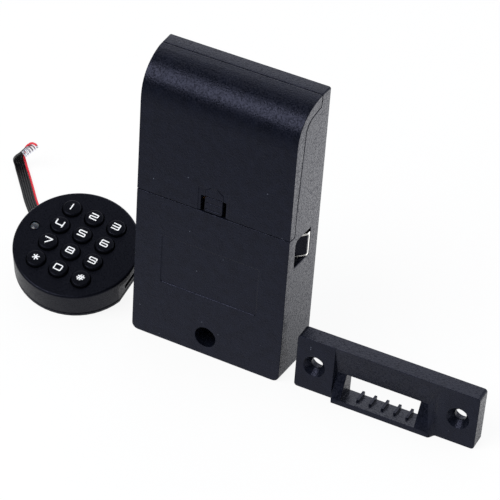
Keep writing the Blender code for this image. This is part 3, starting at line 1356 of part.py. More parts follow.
def make_keypad_inside(frame):
    """Light pipe, dome mat, board, power port and screws."""
    lens = turned("lens", [
        (0, LENS_RISE), (LENS_RADIUS, LENS_RISE), (LENS_RADIUS, FLANGE_TOP),
        (LENS_FLANGE_RADIUS, FLANGE_TOP), (LENS_FLANGE_RADIUS, FLANGE_TOP - LENS_FLANGE_THICKNESS),
        (0, FLANGE_TOP - LENS_FLANGE_THICKNESS),
    ], SMALL_SIDES)
    as_part(lens, "led_lens", CLEAR)
    lens.parent = frame
    lens.location = (LENS_X, 0, 0)

    limit = FLAT_DISTANCE - SHELL_WALL - GAP
    mat = mat_disc("mat", MAT_BOTTOM, MAT_TOP, limit)
    for _, across, up in key_places():
        join(mat, rod(
            "dome", DOME_RADIUS, (across, up, MAT_TOP - MAT_THICKNESS / 2),
            (across, up, MAT_TOP + DOME_HEIGHT), DOME_RADIUS * DOME_TOP_SHARE, TINY_SIDES))
    as_part(mat, "key_mat", MAT_RUBBER).parent = frame
    board = mat_disc("board", KEYPAD_BOARD_BOTTOM, KEYPAD_BOARD_TOP, limit)
    as_part(board, "keypad_board", BOARD_GREEN).parent = frame

    high = -PORT_DROP + PORT_HEIGHT / 2 - GAP
    low = -PORT_DROP - PORT_HEIGHT / 2 + GAP
    half = PORT_WIDTH / 2 - GAP
    mouth = FLAT_DISTANCE - SHELL_WALL / 2
    port = block("port", (mouth - PORT_DEPTH, -half, low), (mouth, half, high))
    cut(port, block(
        "mouth", (mouth - PORT_MOUTH_DEPTH, -half + PORT_MOUTH_WALL, low + PORT_MOUTH_WALL),
        (mouth + OVER, half - PORT_MOUTH_WALL, high - PORT_MOUTH_WALL)))
    as_part(port, "power_port", NICKEL).parent = frame

    for index, (across, up) in enumerate(post_places()):
        screw = make_screw(
            f"keypad_screw_{index + 1}", KEYPAD_SCREW_RADIUS, KEYPAD_SCREW_HEAD_RADIUS,
            KEYPAD_SCREW_HEAD_HEIGHT, KEYPAD_SCREW_LENGTH, TINY_SIDES)
        screw.parent = frame
        screw.location = (across, up, -KEYPAD_THICKNESS + FIT)
        screw.rotation_euler = (math.pi, 0, 0)


def mat_disc(name, low, high, limit):
    """Disc inside the keypad's wall: straight along the flat and notched at the posts."""
    disc = upright(name, MAT_RADIUS, (0, 0), low, high, DISC_SIDES)
    cut(disc, block(
        "flat", (limit, -MAT_RADIUS, low - OVER), (MAT_RADIUS + OVER, MAT_RADIUS, high + OVER)))
    for place in post_places():
        cut(disc, upright("notch", KEYPAD_POST_RADIUS + GAP, place, low - OVER, high + OVER))
    return disc


def smooth_through(points, steps):
    """Catmull-Rom curve through points, with a number of steps between neighbours."""
    points = np.asarray(points)
    padded = np.concatenate([2 * points[:1] - points[1:2], points, 2 * points[-1:] - points[-2:-1]])
    rows = []
    for index in range(1, len(padded) - 2):
        before, here, there, after = padded[index - 1:index + 3]
        for t in np.arange(steps) / steps:
            rows.append(0.5 * (
                2 * here + (there - before) * t
                + (2 * before - 5 * here + 4 * there - after) * t ** 2
                + (3 * here - before - 3 * there + after) * t ** 3))
    rows.append(points[-1])
    return np.array(rows)


def make_ribbon_cable():
    """Flat cable: a rectangle carried along the route, its width along the side vectors."""
    middle = smooth_through(CABLE_ROUTE, CABLE_STEPS)
    middle[:, 1] += FRONT_Y
    side = smooth_through(CABLE_SIDE, CABLE_STEPS)
    along = np.gradient(middle, axis=0)
    along /= np.linalg.norm(along, axis=1, keepdims=True)
    side -= along * np.sum(side * along, axis=1, keepdims=True)
    side /= np.linalg.norm(side, axis=1, keepdims=True)
    normal = np.cross(side, along)
    form = bmesh.new()
    rings = []
    for place, across, out in zip(middle, side, normal):
        corners = []
        for wide, thick in ((1, 1), (-1, 1), (-1, -1), (1, -1)):
            corner = place + across * wide * CABLE_WIDTH / 2 + out * thick * CABLE_THICKNESS / 2
            corners.append(form.verts.new(corner))
        rings.append(corners)
    for here, there in zip(rings, rings[1:]):
        for index in range(4):
            after = (index + 1) % 4
            form.faces.new((here[index], here[after], there[after], there[index]))
    form.faces.new(rings[0])
    form.faces.new(rings[-1])
    bmesh.ops.recalc_face_normals(form, faces=form.faces)
    return as_part(from_bmesh("ribbon", form), "ribbon_cable", CABLE_BLACK)


def strike_section(recess, lip):
    """Section of the strike as (v, z) for a share of the recess and a share of the lip."""
    back = STRIKE_THICKNESS
    crease = STRIKE_HEIGHT - (STRIKE_HEIGHT - STRIKE_WINDOW_TOP) * recess
    return [
        (back, 0), (back, STRIKE_HEIGHT), (0, STRIKE_HEIGHT), (SCOOP_DEPTH * recess, crease),
        (SCOOP_DEPTH * recess, STRIKE_WINDOW_TOP), (-LIP_REACH * lip, LIP_HEIGHT),
        (-LIP_REACH * lip, 0),
    ]


def make_strike():
    """Strike plate: a loft along its length, then corners, window, ribs and screw holes."""
    stations = [(0, 0, 0), (SCOOP_START, 0, 0), (SCOOP_FULL, 1, 1), (SCOOP_FULL_END, 1, 1)]
    for step in range(LIP_FADE_STEPS + 1):
        share = step / LIP_FADE_STEPS
        place = LIP_FULL_END + (SCOOP_END - LIP_FULL_END) * share
        recess = (SCOOP_END - place) / (SCOOP_END - SCOOP_FULL_END)
        stations.append((place, recess, 1 - share ** 2 * (3 - 2 * share)))
    stations.append((STRIKE_LENGTH, 0, 0))
    form = bmesh.new()
    rings = []
    for place, recess, lip in stations:
        rings.append([form.verts.new((place, v, z)) for v, z in strike_section(recess, lip)])
    count = len(rings[0])
    for here, there in zip(rings, rings[1:]):
        for index in range(count):
            after = (index + 1) % count
            form.faces.new((here[index], here[after], there[after], there[index]))
    form.faces.new(rings[0])
    form.faces.new(rings[-1])
    bmesh.ops.remove_doubles(form, verts=form.verts, dist=MERGE)
    bmesh.ops.recalc_face_normals(form, faces=form.faces)
    strike = from_bmesh("strike", form)
    ends = rounded((0, 0), (STRIKE_LENGTH, STRIKE_HEIGHT), STRIKE_CORNER)
    before, behind = -LIP_REACH - OVER, STRIKE_THICKNESS + OVER
    keep_inside(strike, prism("ends", [ends], before, behind, 'XZ'))
    opening = [
        (before, LIP_HEIGHT), (-LIP_REACH, LIP_HEIGHT), (STRIKE_THICKNESS, STRIKE_WINDOW_BASE),
        (behind, STRIKE_WINDOW_BASE), (behind, STRIKE_WINDOW_TOP), (before, STRIKE_WINDOW_TOP),
    ]
    cut(strike, prism("window", [opening], STRIKE_WINDOW_START, STRIKE_WINDOW_END, 'YZ'))
    for index in range(STRIKE_RIB_COUNT):
        centre = STRIKE_WINDOW_START + STRIKE_RIB_LEAD + index * STRIKE_RIB_PITCH
        join(strike, block(
            "rib", (centre - STRIKE_RIB_WIDTH / 2, STRIKE_RIB_FRONT, 0),
            (centre + STRIKE_RIB_WIDTH / 2, STRIKE_THICKNESS, LIP_HEIGHT + STRIKE_RIB_HEIGHT / 2)))
    neck = STRIKE_THICKNESS - STRIKE_BORE_DEPTH
    for place in STRIKE_HOLE_U:
        sink = turned("sink", [
            (0, OVER), (STRIKE_SINK_RADIUS, OVER), (STRIKE_SINK_RADIUS, 0),
            (STRIKE_HOLE_RADIUS, -STRIKE_SINK_DEPTH), (STRIKE_HOLE_RADIUS, -neck),
            (STRIKE_BORE_RADIUS, -neck), (STRIKE_BORE_RADIUS, -behind), (0, -behind),
        ])
        turn = Matrix.Rotation(math.pi / 2, 4, 'X')
        sink.data.transform(Matrix.Translation((place, 0, STRIKE_HOLE_HEIGHT)) @ turn)
        cut(strike, sink)
    as_part(strike, "strike_plate", GRAPHITE)
    strike.location = (STRIKE_X, deep(STRIKE_DEPTH), 0)
    strike.rotation_euler = (0, 0, STRIKE_TURN)


def main():
    """Build every sub-part."""
    make_housing()
    make_back_plate()
    make_case_screws()
    make_battery_cover()
    make_cells()
    make_contacts()
    make_contact_springs()
    make_main_board()
    make_drive()
    bolt_pivot = pivot_at("bolt_pivot", (0, deep(CORE_BACK), BOLT_MIDDLE))
    moved_with(make_bolt(), bolt_pivot)
    moved_with(make_bolt_strip(), bolt_pivot)
    make_bolt_spring()
    frame = keypad_frame()
    make_keypad_shell(frame)
    make_keypad_back(frame)
    make_keys(frame)
    make_keypad_inside(frame)
    make_ribbon_cable()
    make_strike()


main()
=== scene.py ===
"""Looks of the electronic cabinet lock: lock body, round keypad on its ribbon cable, strike plate.

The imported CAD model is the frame. Lengths are metres in that frame: +Z up, +Y to the door, and
the bolt leaves towards +X. Shells are softened copies of the CAD forms; turned, wound and printed
pieces are surfaces worked out as whole arrays.
"""

import logging
import math
from dataclasses import dataclass
from enum import Enum
from typing import Sequence

import bmesh
import bpy
import numpy as np
from mathutils import Matrix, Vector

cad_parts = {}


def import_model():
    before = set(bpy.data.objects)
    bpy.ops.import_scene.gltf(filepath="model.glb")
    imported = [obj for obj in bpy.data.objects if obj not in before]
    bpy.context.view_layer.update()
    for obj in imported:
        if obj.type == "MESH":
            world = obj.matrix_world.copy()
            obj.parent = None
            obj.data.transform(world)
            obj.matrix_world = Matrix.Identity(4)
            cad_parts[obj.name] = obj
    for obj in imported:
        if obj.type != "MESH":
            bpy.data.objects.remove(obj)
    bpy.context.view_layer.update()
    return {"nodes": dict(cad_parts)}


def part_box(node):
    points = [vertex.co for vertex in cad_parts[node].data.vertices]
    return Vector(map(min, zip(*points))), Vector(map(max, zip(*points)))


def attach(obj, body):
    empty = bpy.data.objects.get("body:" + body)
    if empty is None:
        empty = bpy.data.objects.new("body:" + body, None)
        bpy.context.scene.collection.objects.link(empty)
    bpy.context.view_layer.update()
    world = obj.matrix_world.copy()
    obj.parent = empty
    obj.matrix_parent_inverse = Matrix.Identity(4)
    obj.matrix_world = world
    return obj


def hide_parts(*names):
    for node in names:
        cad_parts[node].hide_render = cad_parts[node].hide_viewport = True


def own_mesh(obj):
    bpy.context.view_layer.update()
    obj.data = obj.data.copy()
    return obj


LOG = logging.getLogger("cabinet_lock")
UV_NAME = "surface"
MM = 0.001
# Points of a CAD node that are closer than this are one, and those of a new piece at a tenth
WELD = 0.000002
# Edges sharper than this angle are rounded, by this many faces each
EDGE_ANGLE = math.radians(35.0)
EDGE_FACES = 2
# How much a face's area counts in the normals of its corners
AREA_WEIGHT = 80
# Most of a stroke's arm that the rounding of one corner takes, so that two never meet
HALF_ARM = 0.499
# Sides of a round cutting tool
TOOL_SIDES = 48
# Points of a wound wire in each turn
STEPS_PER_TURN = 40
# Noise drawn out along Z, for streaks that run up a metal
UPRIGHT = (1.0, 1.0, 0.1)

Object = bpy.types.Object
Material = bpy.types.Material
Tree = bpy.types.NodeTree
Node = bpy.types.Node
Socket = bpy.types.NodeSocket
Point = tuple[float, float, float]
Spot = tuple[float, float]
Feed = Socket | float | str | tuple


class Slot(Enum):
    """Finishes of the record that a piece can take."""

    BODY = "graphite_abs"
    CASE = "black_abs"
    KEY = "key_cap"
    RUBBER = "silicone"
    STEEL = "steel"
    NICKEL = "nickel"
    BRASS = "brass"
    BOARD = "circuit_board"
    NYLON = "nylon"
    CELL = "cell_wrap"
    CHIP = "chip"
    LENS = "lens"
    CABLE = "cable"


def srgb(colour: str) -> tuple[float, float, float, float]:
    """Turn an sRGB hex colour into linear light.

    A dark channel is divided by 12.92; any other is ((c + 0.055) / 1.055) to the power 2.4.

    Args:
        colour: Six hex digits after a hash sign.

    Returns:
        Linear red, green and blue, and full alpha.
    """
    raw = np.array([int(colour[start:start + 2], 16) for start in (1, 3, 5)]) / 255
    low, high = raw / 12.92, ((raw + 0.055) / 1.055) ** 2.4
    red, green, blue = np.where(raw <= 0.04045, low, high).tolist()
    return red, green, blue, 1.0


def feed(tree: Tree, node: Node, inputs: dict[str | int, Feed]) -> None:
    """Give a node's inputs their values: a socket is linked, a hex colour made linear.

    Args:
        tree: Node tree that holds the node.
        node: Node whose inputs are set.
        inputs: Input name or number to its value, hex colour or the socket that feeds it.
    """
    for name, value in inputs.items():
        if isinstance(value, Socket):
            tree.links.new(value, node.inputs[name])
        else:
            node.inputs[name].default_value = srgb(value) if isinstance(value, str) else value


def add_node(tree: Tree, kind: str, inputs: dict[str | int, Feed] | None = None,
             **settings: object) -> Node:
    """Add a shader node with its settings and inputs.

    Args:
        tree: Node tree that takes the node.
        kind: Blender's name of the node type.
        inputs: Input name or number to its value, hex colour or the socket that feeds it.
        settings: The node's own properties.

    Returns:
        The new node.
    """
    node = tree.nodes.new(kind)
    for name, value in settings.items():
        setattr(node, name, value)
    feed(tree, node, inputs or {})
    return node


def worked_out(tree: Tree, operation: str, *values: Feed) -> Socket:
    """Work out one value from others with a Math node."""
    node = add_node(tree, "ShaderNodeMath", dict(enumerate(values)), operation=operation)
    return node.outputs[0]


def mixed(tree: Tree, share: Socket, first: Feed, second: Feed) -> Socket:
    """Mix two colours by the share of the second."""
    return add_node(tree, "ShaderNodeMix", {"Factor": share, "A": first, "B": second},
                    data_type="RGBA").outputs["Result"]


def ramp(tree: Tree, source: Socket, low: float, high: float, at: Spot = (0.3, 0.7),
         **settings: object) -> Socket:
    """Map a value between two limits to a range of its own, which it keeps past them.

    Args:
        tree: Node tree that takes the node.
        source: The value.
        low: Result at the first limit and before it.
        high: Result at the second limit and past it.
        at: The two limits.
        settings: The node's own properties.

    Returns:
        The mapped value.
    """
    return add_node(tree, "ShaderNodeMapRange", {
        "Value": source, "From Min": at[0], "From Max": at[1], "To Min": low, "To Max": high},
        **settings).outputs["Result"]


def axis_of(tree: Tree, vector: Socket, axis: str) -> Socket:
    """Take one axis of a vector."""
    return add_node(tree, "ShaderNodeSeparateXYZ", {"Vector": vector}).outputs[axis]


def coordinate(tree: Tree, kind: str) -> Socket:
    """Return a texture coordinate of one kind."""
    return add_node(tree, "ShaderNodeTexCoord").outputs[kind]


def own_uv(tree: Tree) -> Socket:
    """Return the piece's own UV map, whose U runs across or round it and V along it."""
    return add_node(tree, "ShaderNodeUVMap", uv_map=UV_NAME).outputs["UV"]


@dataclass(frozen=True)
class Finish:
    """Base of every finish: its name, colour and gloss, and how far the gloss swings."""

    name: str
    colour: str
    roughness: float = 0.5
    metallic: float = 0.0
    swing: Spot = (0.05, 0.05)

    def start(self) -> tuple[Material, Tree, Node]:
        """Make the material with its Principled shader; the base values sit on its sockets.

        Returns:
            The material, its node tree and its shader.
        """
        material = bpy.data.materials.new(self.name)
        material.use_nodes = True
        tree = material.node_tree
        shader = tree.nodes["Principled BSDF"]
        feed(tree, shader, {"Base Color": self.colour, "Roughness": self.roughness,
                            "Metallic": self.metallic})
        return material, tree, shader

    def noise(self, tree: Tree, grain: float, detail: float = 2.0,
              stretch: Point = (1, 1, 1)) -> Socket:
        """Noise in Object coordinates whose lumps are one grain across.

        Args:
            tree: Node tree that takes the noise.
            grain: Size of a lump in metres.
            detail: Octaves of finer noise.
            stretch: Share of the frequency along each axis.

        Returns:
            The noise's value.
        """
        place = add_node(tree, "ShaderNodeMapping", {
            "Vector": coordinate(tree, "Object"), "Scale": stretch}).outputs["Vector"]
        return add_node(tree, "ShaderNodeTexNoise", {
            "Vector": place, "Scale": 1 / grain, "Detail": detail}).outputs["Fac"]

    def gloss(self, tree: Tree, source: Socket) -> Socket:
        """Let the roughness follow a noise, from below the plain value to above it."""
        under, over = self.swing
        return ramp(tree, source, self.roughness - under, self.roughness + over)

    def bump(self, tree: Tree, height: Socket, depth: float) -> Socket:
        """Raise the surface by a height of 0 to 1 times a depth in metres."""
        return add_node(tree, "ShaderNodeBump", {
            "Height": height, "Strength": 1.0, "Distance": depth}).outputs["Normal"]


@dataclass(frozen=True)
class MouldedPlastic(Finish):
    """ABS moulded against a spark-eroded tool: matt, with a fine pebbled skin.

    The real pebbles are about 0.1 mm across; they are drawn as coarse as they need to be to
    glitter in the render. A second, wider noise mottles the colour a little, and sparse dust
    specks sit on the skin.
    """

    swing: Spot = (0.26, 0.26)
    grain: float = 0.45 * MM
    octaves: float = 3.0
    cloud_grains: float = 6.0
    cloud_octaves: float = 4.0
    depth: float = 0.02 * MM
    specular: float = 0.30
    sheen: str = "#d2d6ff"
    lift: str = "#1b202c"
    mottle: float = 0.8
    dust: float = 0.0
    dust_pitch: float = 1.7 * MM
    dust_reach: float = 0.13
    dust_colour: str = "#4a4e58"

    def build(self) -> Material:
        """Pebble, mottle and dust the plastic.

        Returns:
            The moulded plastic.
        """
        material, tree, shader = self.start()
        pebbles = self.noise(tree, self.grain, self.octaves)
        cloud = self.noise(tree, self.cloud_grains * self.grain, self.cloud_octaves)
        colour = mixed(tree, ramp(tree, cloud, 0.0, self.mottle), self.colour, self.lift)
        if self.dust:
            colour = self.dusted(tree, colour)
        feed(tree, shader, {
            "Specular IOR Level": self.specular, "Specular Tint": self.sheen,
            "Base Color": colour, "Roughness": self.gloss(tree, pebbles),
            "Normal": self.bump(tree, pebbles, self.depth)})
        return material

    def dusted(self, tree: Tree, colour: Socket) -> Socket:
        """Mix grey dust specks over a colour: small balls round a few of the Voronoi points.

        Args:
            tree: Node tree that takes the nodes.
            colour: Colour of the clean skin.

        Returns:
            The dusted colour.
        """
        cells = add_node(tree, "ShaderNodeTexVoronoi", {
            "Vector": coordinate(tree, "Object"), "Scale": 1 / self.dust_pitch}).outputs
        near = worked_out(tree, "LESS_THAN", cells["Distance"], self.dust_reach)
        red = add_node(tree, "ShaderNodeSeparateColor", {"Color": cells["Color"]}).outputs["Red"]
        few = worked_out(tree, "LESS_THAN", red, self.dust)
        return mixed(tree, worked_out(tree, "MULTIPLY", near, few), colour, self.dust_colour)


@dataclass(frozen=True)
class WorkedMetal(Finish):
    """Rolled, drawn or plated metal: fine scratches along one axis and a cloudy gloss."""

    metallic: float = 1.0
    swing: Spot = (0.04, 0.05)
    scratch: float = 0.25 * MM
    octaves: float = 3.0
    cloud_scratches: float = 8.0
    scratch_gloss: float = 0.06
    depth: float = 0.002 * MM
    stretch: Point = (0.06, 1.0, 1.0)

    def build(self) -> Material:
        """Lay the scratches over the cloudy gloss.

        Returns:
            The worked metal.
        """
        material, tree, shader = self.start()
        lines = self.noise(tree, self.scratch, self.octaves, self.stretch)
        cloud = self.noise(tree, self.cloud_scratches * self.scratch)
        dull = ramp(tree, lines, -self.scratch_gloss, self.scratch_gloss)
        feed(tree, shader, {
            "Roughness": worked_out(tree, "ADD", dull, self.gloss(tree, cloud)),
            "Normal": self.bump(tree, lines, self.depth)})
        return material


@dataclass(frozen=True)
class SoftPolymer(Finish):
    """Silicone, nylon or epoxy: cast smooth, with a faint cloud and waviness."""

    grain: float = 0.8 * MM
    octaves: float = 3.0
    depth: float = 0.006 * MM
    tint: str = "#ffffff"
    tint_share: float = 0.08
    specular: float = 0.5
    light_through: float = 0.0
    light_reach: float = 0.6 * MM

    def build(self) -> Material:
        """Let one noise cloud the colour and wave the surface.

        Returns:
            The smooth polymer.
        """
        material, tree, shader = self.start()
        cloud = self.noise(tree, self.grain, self.octaves)
        feed(tree, shader, {
            "Specular IOR Level": self.specular, "Subsurface Weight": self.light_through,
            "Subsurface Scale": self.light_reach,
            "Base Color": mixed(tree, ramp(tree, cloud, 0.0, self.tint_share),
                                self.colour, self.tint),
            "Normal": self.bump(tree, cloud, self.depth)})
        return material


@dataclass(frozen=True)
class SolderMask(Finish):
    """Glass-fibre board under green lacquer, with copper runs that show as paler lines."""

    run: float = 1.2 * MM
    cell_runs: float = 3.0
    runs_per_cell: float = 6.0
    run_edges: Spot = (0.60, 0.66)
    run_colour: str = "#2f7a45"
    depth: float = 0.02 * MM

    def build(self) -> Material:
        """Draw the copper runs: nested squares, at even steps round each Voronoi point.

        Returns:
            The lacquered board.
        """
        material, tree, shader = self.start()
        cells = add_node(tree, "ShaderNodeTexVoronoi", {
            "Vector": coordinate(tree, "Object"), "Scale": 1 / (self.cell_runs * self.run)},
            distance="CHEBYCHEV", feature="F1")
        line = worked_out(tree, "MULTIPLY", cells.outputs["Distance"], self.runs_per_cell)
        wave = worked_out(tree, "FRACT", line)
        feed(tree, shader, {
            "Base Color": mixed(tree, ramp(tree, wave, 0.0, 1.0, self.run_edges),
                                self.colour, self.run_colour),
            "Normal": self.bump(tree, wave, self.depth)})
        return material


@dataclass(frozen=True)
class PrintedSleeve(Finish):
    """Shrink sleeve of a dry cell: glossy print, a copper-coloured band near the plus end."""

    swing: Spot = (0.06, 0.06)
    band_colour: str = "#b07a3a"
    band_edges: Spot = (0.72, 0.724)
    film: float = 1.5 * MM
    depth: float = 0.01 * MM
    coat: float = 0.5
    coat_roughness: float = 0.12

    def build(self) -> Material:
        """Print the band; the mesh's V runs from the minus end to the plus end.

        Returns:
            The printed sleeve.
        """
        material, tree, shader = self.start()
        along = axis_of(tree, own_uv(tree), "Y")
        film = self.noise(tree, self.film)
        feed(tree, shader, {
            "Coat Weight": self.coat, "Coat Roughness": self.coat_roughness,
            "Base Color": mixed(tree, ramp(tree, along, 0.0, 1.0, self.band_edges),
                                self.colour, self.band_colour),
            "Roughness": self.gloss(tree, film), "Normal": self.bump(tree, film, self.depth)})
        return material


@dataclass(frozen=True)
class RibbonSheath(Finish):
    """PVC flat cable, slightly glossy: dark wires, one red at its right edge, tinned ends."""

    swing: Spot = (0.05, 0.08)
    red: str = "#d42a38"
    tin: str = "#c3c4cc"
    first_red_share: float = 5 / 6
    specular: float = 0.30
    grain: float = 0.5 * MM
    depth: float = 0.01 * MM

    def build(self) -> Material:
        """Colour the wires; U runs across them from 0 to 1, and past 1 where they are bare.

        Returns:
            The sheath with its bare ends.
        """
        material, tree, shader = self.start()
        across = axis_of(tree, own_uv(tree), "X")
        is_red = worked_out(tree, "GREATER_THAN", across, self.first_red_share)
        is_bare = worked_out(tree, "GREATER_THAN", across, 1.0)
        skin = self.noise(tree, self.grain)
        feed(tree, shader, {
            "Specular IOR Level": self.specular, "Metallic": is_bare,
            "Base Color": mixed(tree, is_bare, mixed(tree, is_red, self.colour, self.red),
                                self.tin),
            "Roughness": self.gloss(tree, skin), "Normal": self.bump(tree, skin, self.depth)})
        return material


FINISHES: dict[Slot, Finish] = {
    # Dark ABS, moulded in a coarsely eroded tool: its pebbles glitter where a lamp glances
    Slot.BODY: MouldedPlastic("spark_eroded_graphite_abs", "#080a11", 0.31, grain=0.6 * MM,
                              depth=0.10 * MM, specular=0.22, lift="#0f121c", dust=0.02),
    # Black ABS, moulded in a finer tool: an even low gloss, darker than the body
    Slot.CASE: MouldedPlastic("spark_eroded_black_abs", "#05060a", 0.40, grain=0.35 * MM,
                              depth=0.02 * MM, specular=0.17, lift="#07080d"),
    # Key caps, moulded in the finest tool: quiet and matt, so that their print stands out
    Slot.KEY: MouldedPlastic("matt_key_plastic", "#050609", 0.40, grain=0.3 * MM,
                             depth=0.006 * MM, specular=0.13, lift="#08090d"),
    # Silicone, cast: chalky grey, with some light let in
    Slot.RUBBER: SoftPolymer("grey_silicone", "#9a9a9c", 0.75, tint="#b8b8ba",
                             light_through=0.2),
    # Steel, rolled bright: fine streaks along X, the bolt's way, draw out its reflections
    Slot.STEEL: WorkedMetal("rolled_bright_steel", "#d9d8d4", 0.24),
    # Steel, plated with nickel: warmer and a little duller, with upright streaks
    Slot.NICKEL: WorkedMetal("nickel_plated_steel", "#cfc8bc", 0.27, stretch=UPRIGHT),
    # Brass, turned: yellow and satin, with upright streaks
    Slot.BRASS: WorkedMetal("turned_brass", "#d6a95c", 0.30, stretch=UPRIGHT),
    # Glass fibre under green lacquer: half glossy, with paler lines over the copper
    Slot.BOARD: SolderMask("green_solder_mask", "#14552b", 0.32),
    # Nylon, moulded: milky white, light goes a little way in
    Slot.NYLON: SoftPolymer("white_nylon", "#d8d6cf", 0.48, tint="#f2f0ea",
                            light_through=0.3),
    # Plastic film, printed and shrunk on: clear gloss over deep green
    Slot.CELL: PrintedSleeve("dry_cell_sleeve", "#1c3f36", 0.28),
    # Epoxy, cast over the chip: dull and nearly black
    Slot.CHIP: SoftPolymer("black_chip_epoxy", "#1a1a1b", 0.62, grain=0.2 * MM,
                           depth=0.01 * MM, tint="#303032", tint_share=0.4),
    # Clear resin, moulded as a light pipe: a glossy dark end that takes one bright spot
    Slot.LENS: SoftPolymer("clear_dark_light_pipe", "#34373c", 0.10, tint="#50545a",
                           tint_share=0.4, light_through=0.3),
    # PVC, drawn round the wires: nearly black, with a low gloss along each wire
    Slot.CABLE: RibbonSheath("dark_ribbon_sheath", "#06070a", 0.42),
}
# Ink, screened on the keys: flat white with a faint greyer cloud
PRINT = SoftPolymer("white_key_print", "#f4f5f6", 0.45, tint="#e6e7ea", tint_share=0.3)


class Palette:
    """Every material of the lock, made once."""

    def __init__(self) -> None:
        """Build the record's finishes and the key print."""
        self.by_slot = {slot: finish.build() for slot, finish in FINISHES.items()}
        self.print = PRINT.build()

    def __getitem__(self, slot: Slot) -> Material:
        """Return the material of a slot."""
        return self.by_slot[slot]


def grid_quads(rows: int, columns: int) -> np.ndarray:
    """Index the quads of a grid of points whose last column joins the first.

    Args:
        rows: Points along the first parameter.
        columns: Points along the second parameter.

    Returns:
        One row of four point numbers per quad.
    """
    row = np.arange(rows - 1)[:, None]
    column = np.arange(columns)[None]
    after = (column + 1) % columns
    corners = [row * columns + column, row * columns + after,
               (row + 1) * columns + after, (row + 1) * columns + column]
    return np.stack(corners, axis=-1).reshape(-1, 4)


def piece_from_grid(name: str, points: np.ndarray, caps: bool = False,
                    smooth_deg: float = 40.0) -> Object:
    """Make a piece from a (rows, columns, 3) grid that closes round its columns.

    The UV map holds the column's share as U and the share of the way along as V.

    Args:
        name: Name of the piece.
        points: Grid of places.
        caps: Whether the first and last rows are closed by a flat face.
        smooth_deg: Edges sharper than this stay sharp.

    Returns:
        The piece at the origin, its place in its mesh.
    """
    rows, columns = points.shape[:2]
    quads = grid_quads(rows, columns)
    faces = quads.tolist()
    if caps:
        faces += [list(range(columns))[::-1], list(range((rows - 1) * columns, rows * columns))]
    mesh = bpy.data.meshes.new(name)
    mesh.from_pydata(points.reshape(-1, 3).tolist(), [], faces)
    lengths = np.linalg.norm(np.diff(points, axis=0), axis=2).mean(axis=1)
    along = np.concatenate([[0.0], np.cumsum(lengths)])
    along /= along[-1]
    row, column = quads // columns, quads % columns
    wraps = (column.max(axis=1) - column.min(axis=1)) > 1
    u = np.where((column == 0) & wraps[:, None], columns, column) / columns
    uv = np.zeros((sum(len(f) for f in faces), 2))
    uv[:quads.size] = np.stack([u, along[row]], axis=-1).reshape(-1, 2)
    mesh.uv_layers.new(name=UV_NAME).data.foreach_set("uv", uv.ravel().astype(np.float32))
    return tidied(placed(name, mesh), smooth_deg)


def placed(name: str, mesh: bpy.types.Mesh) -> Object:
    """Put a mesh into the scene as an object at the origin.

    Args:
        name: Name of the piece.
        mesh: Its mesh.

    Returns:
        The piece.
    """
    piece = bpy.data.objects.new(name, mesh)
    bpy.context.scene.collection.objects.link(piece)
    return piece


def piece_from_form(name: str, form: bmesh.types.BMesh) -> Object:
    """Put a bmesh into the scene as an object at the origin, and free it.

    Args:
        name: Name of the piece.
        form: The bmesh.

    Returns:
        The piece.
    """
    mesh = bpy.data.meshes.new(name)
    form.to_mesh(mesh)
    form.free()
    return placed(name, mesh)


def tidied(piece: Object, smooth_deg: float) -> Object:
    """Weld doubles, turn the faces outwards and smooth all but the sharp edges.

    Args:
        piece: Piece to mend.
        smooth_deg: Edges sharper than this stay sharp.

    Returns:
        The same piece.
    """
    near = WELD / 10
    form = bmesh.new()
    form.from_mesh(piece.data)
    bmesh.ops.remove_doubles(form, verts=form.verts, dist=near)
    bmesh.ops.dissolve_degenerate(form, edges=form.edges, dist=near)
    bmesh.ops.recalc_face_normals(form, faces=form.faces)
    form.to_mesh(piece.data)
    form.free()
    piece.data.shade_smooth()
    piece.data.set_sharp_from_angle(angle=math.radians(smooth_deg))
    return piece


def full_turn(sides: int) -> np.ndarray:
    """Angles of a full turn in even steps, without its end."""
    return np.linspace(0, 2 * math.pi, sides, endpoint=False)


def turned_grid(profile: np.ndarray, sides: int) -> np.ndarray:
    """Turn (radius, height) points about Z: x, y = radius times cosine, sine of the angle.

    Args:
        profile: (n, 2) radii and heights.
        sides: Points round the axis.

    Returns:
        (n, sides, 3) grid of points.
    """
    angle = full_turn(sides)
    radius, height = profile[:, :1], profile[:, 1:]
    return np.stack([radius * np.cos(angle), radius * np.sin(angle),
                     np.broadcast_to(height, (len(profile), sides))], axis=-1)


def arc(centre: Spot, radius: float, start_deg: float, end_deg: float,
        steps: int) -> list[Spot]:
    """Points of a circular arc: centre plus radius times cosine and sine of the angle.

    Args:
        centre: Middle of the circle.
        radius: Its radius.
        start_deg: Angle of the first point.
        end_deg: Angle of the last point.
        steps: Stretches between the points.

    Returns:
        The points in order.
    """
    angle = np.radians(np.linspace(start_deg, end_deg, steps + 1))
    return list(zip((centre[0] + radius * np.cos(angle)).tolist(),
                    (centre[1] + radius * np.sin(angle)).tolist()))


def unit(rows: np.ndarray) -> np.ndarray:
    """Bring each row of vectors to length one."""
    return rows / np.linalg.norm(rows, axis=1, keepdims=True)


def square_to(rows: np.ndarray, tangent: np.ndarray) -> np.ndarray:
    """Take each row's share along its tangent away, and bring the rest to length one."""
    return unit(rows - tangent * np.sum(rows * tangent, axis=1, keepdims=True))


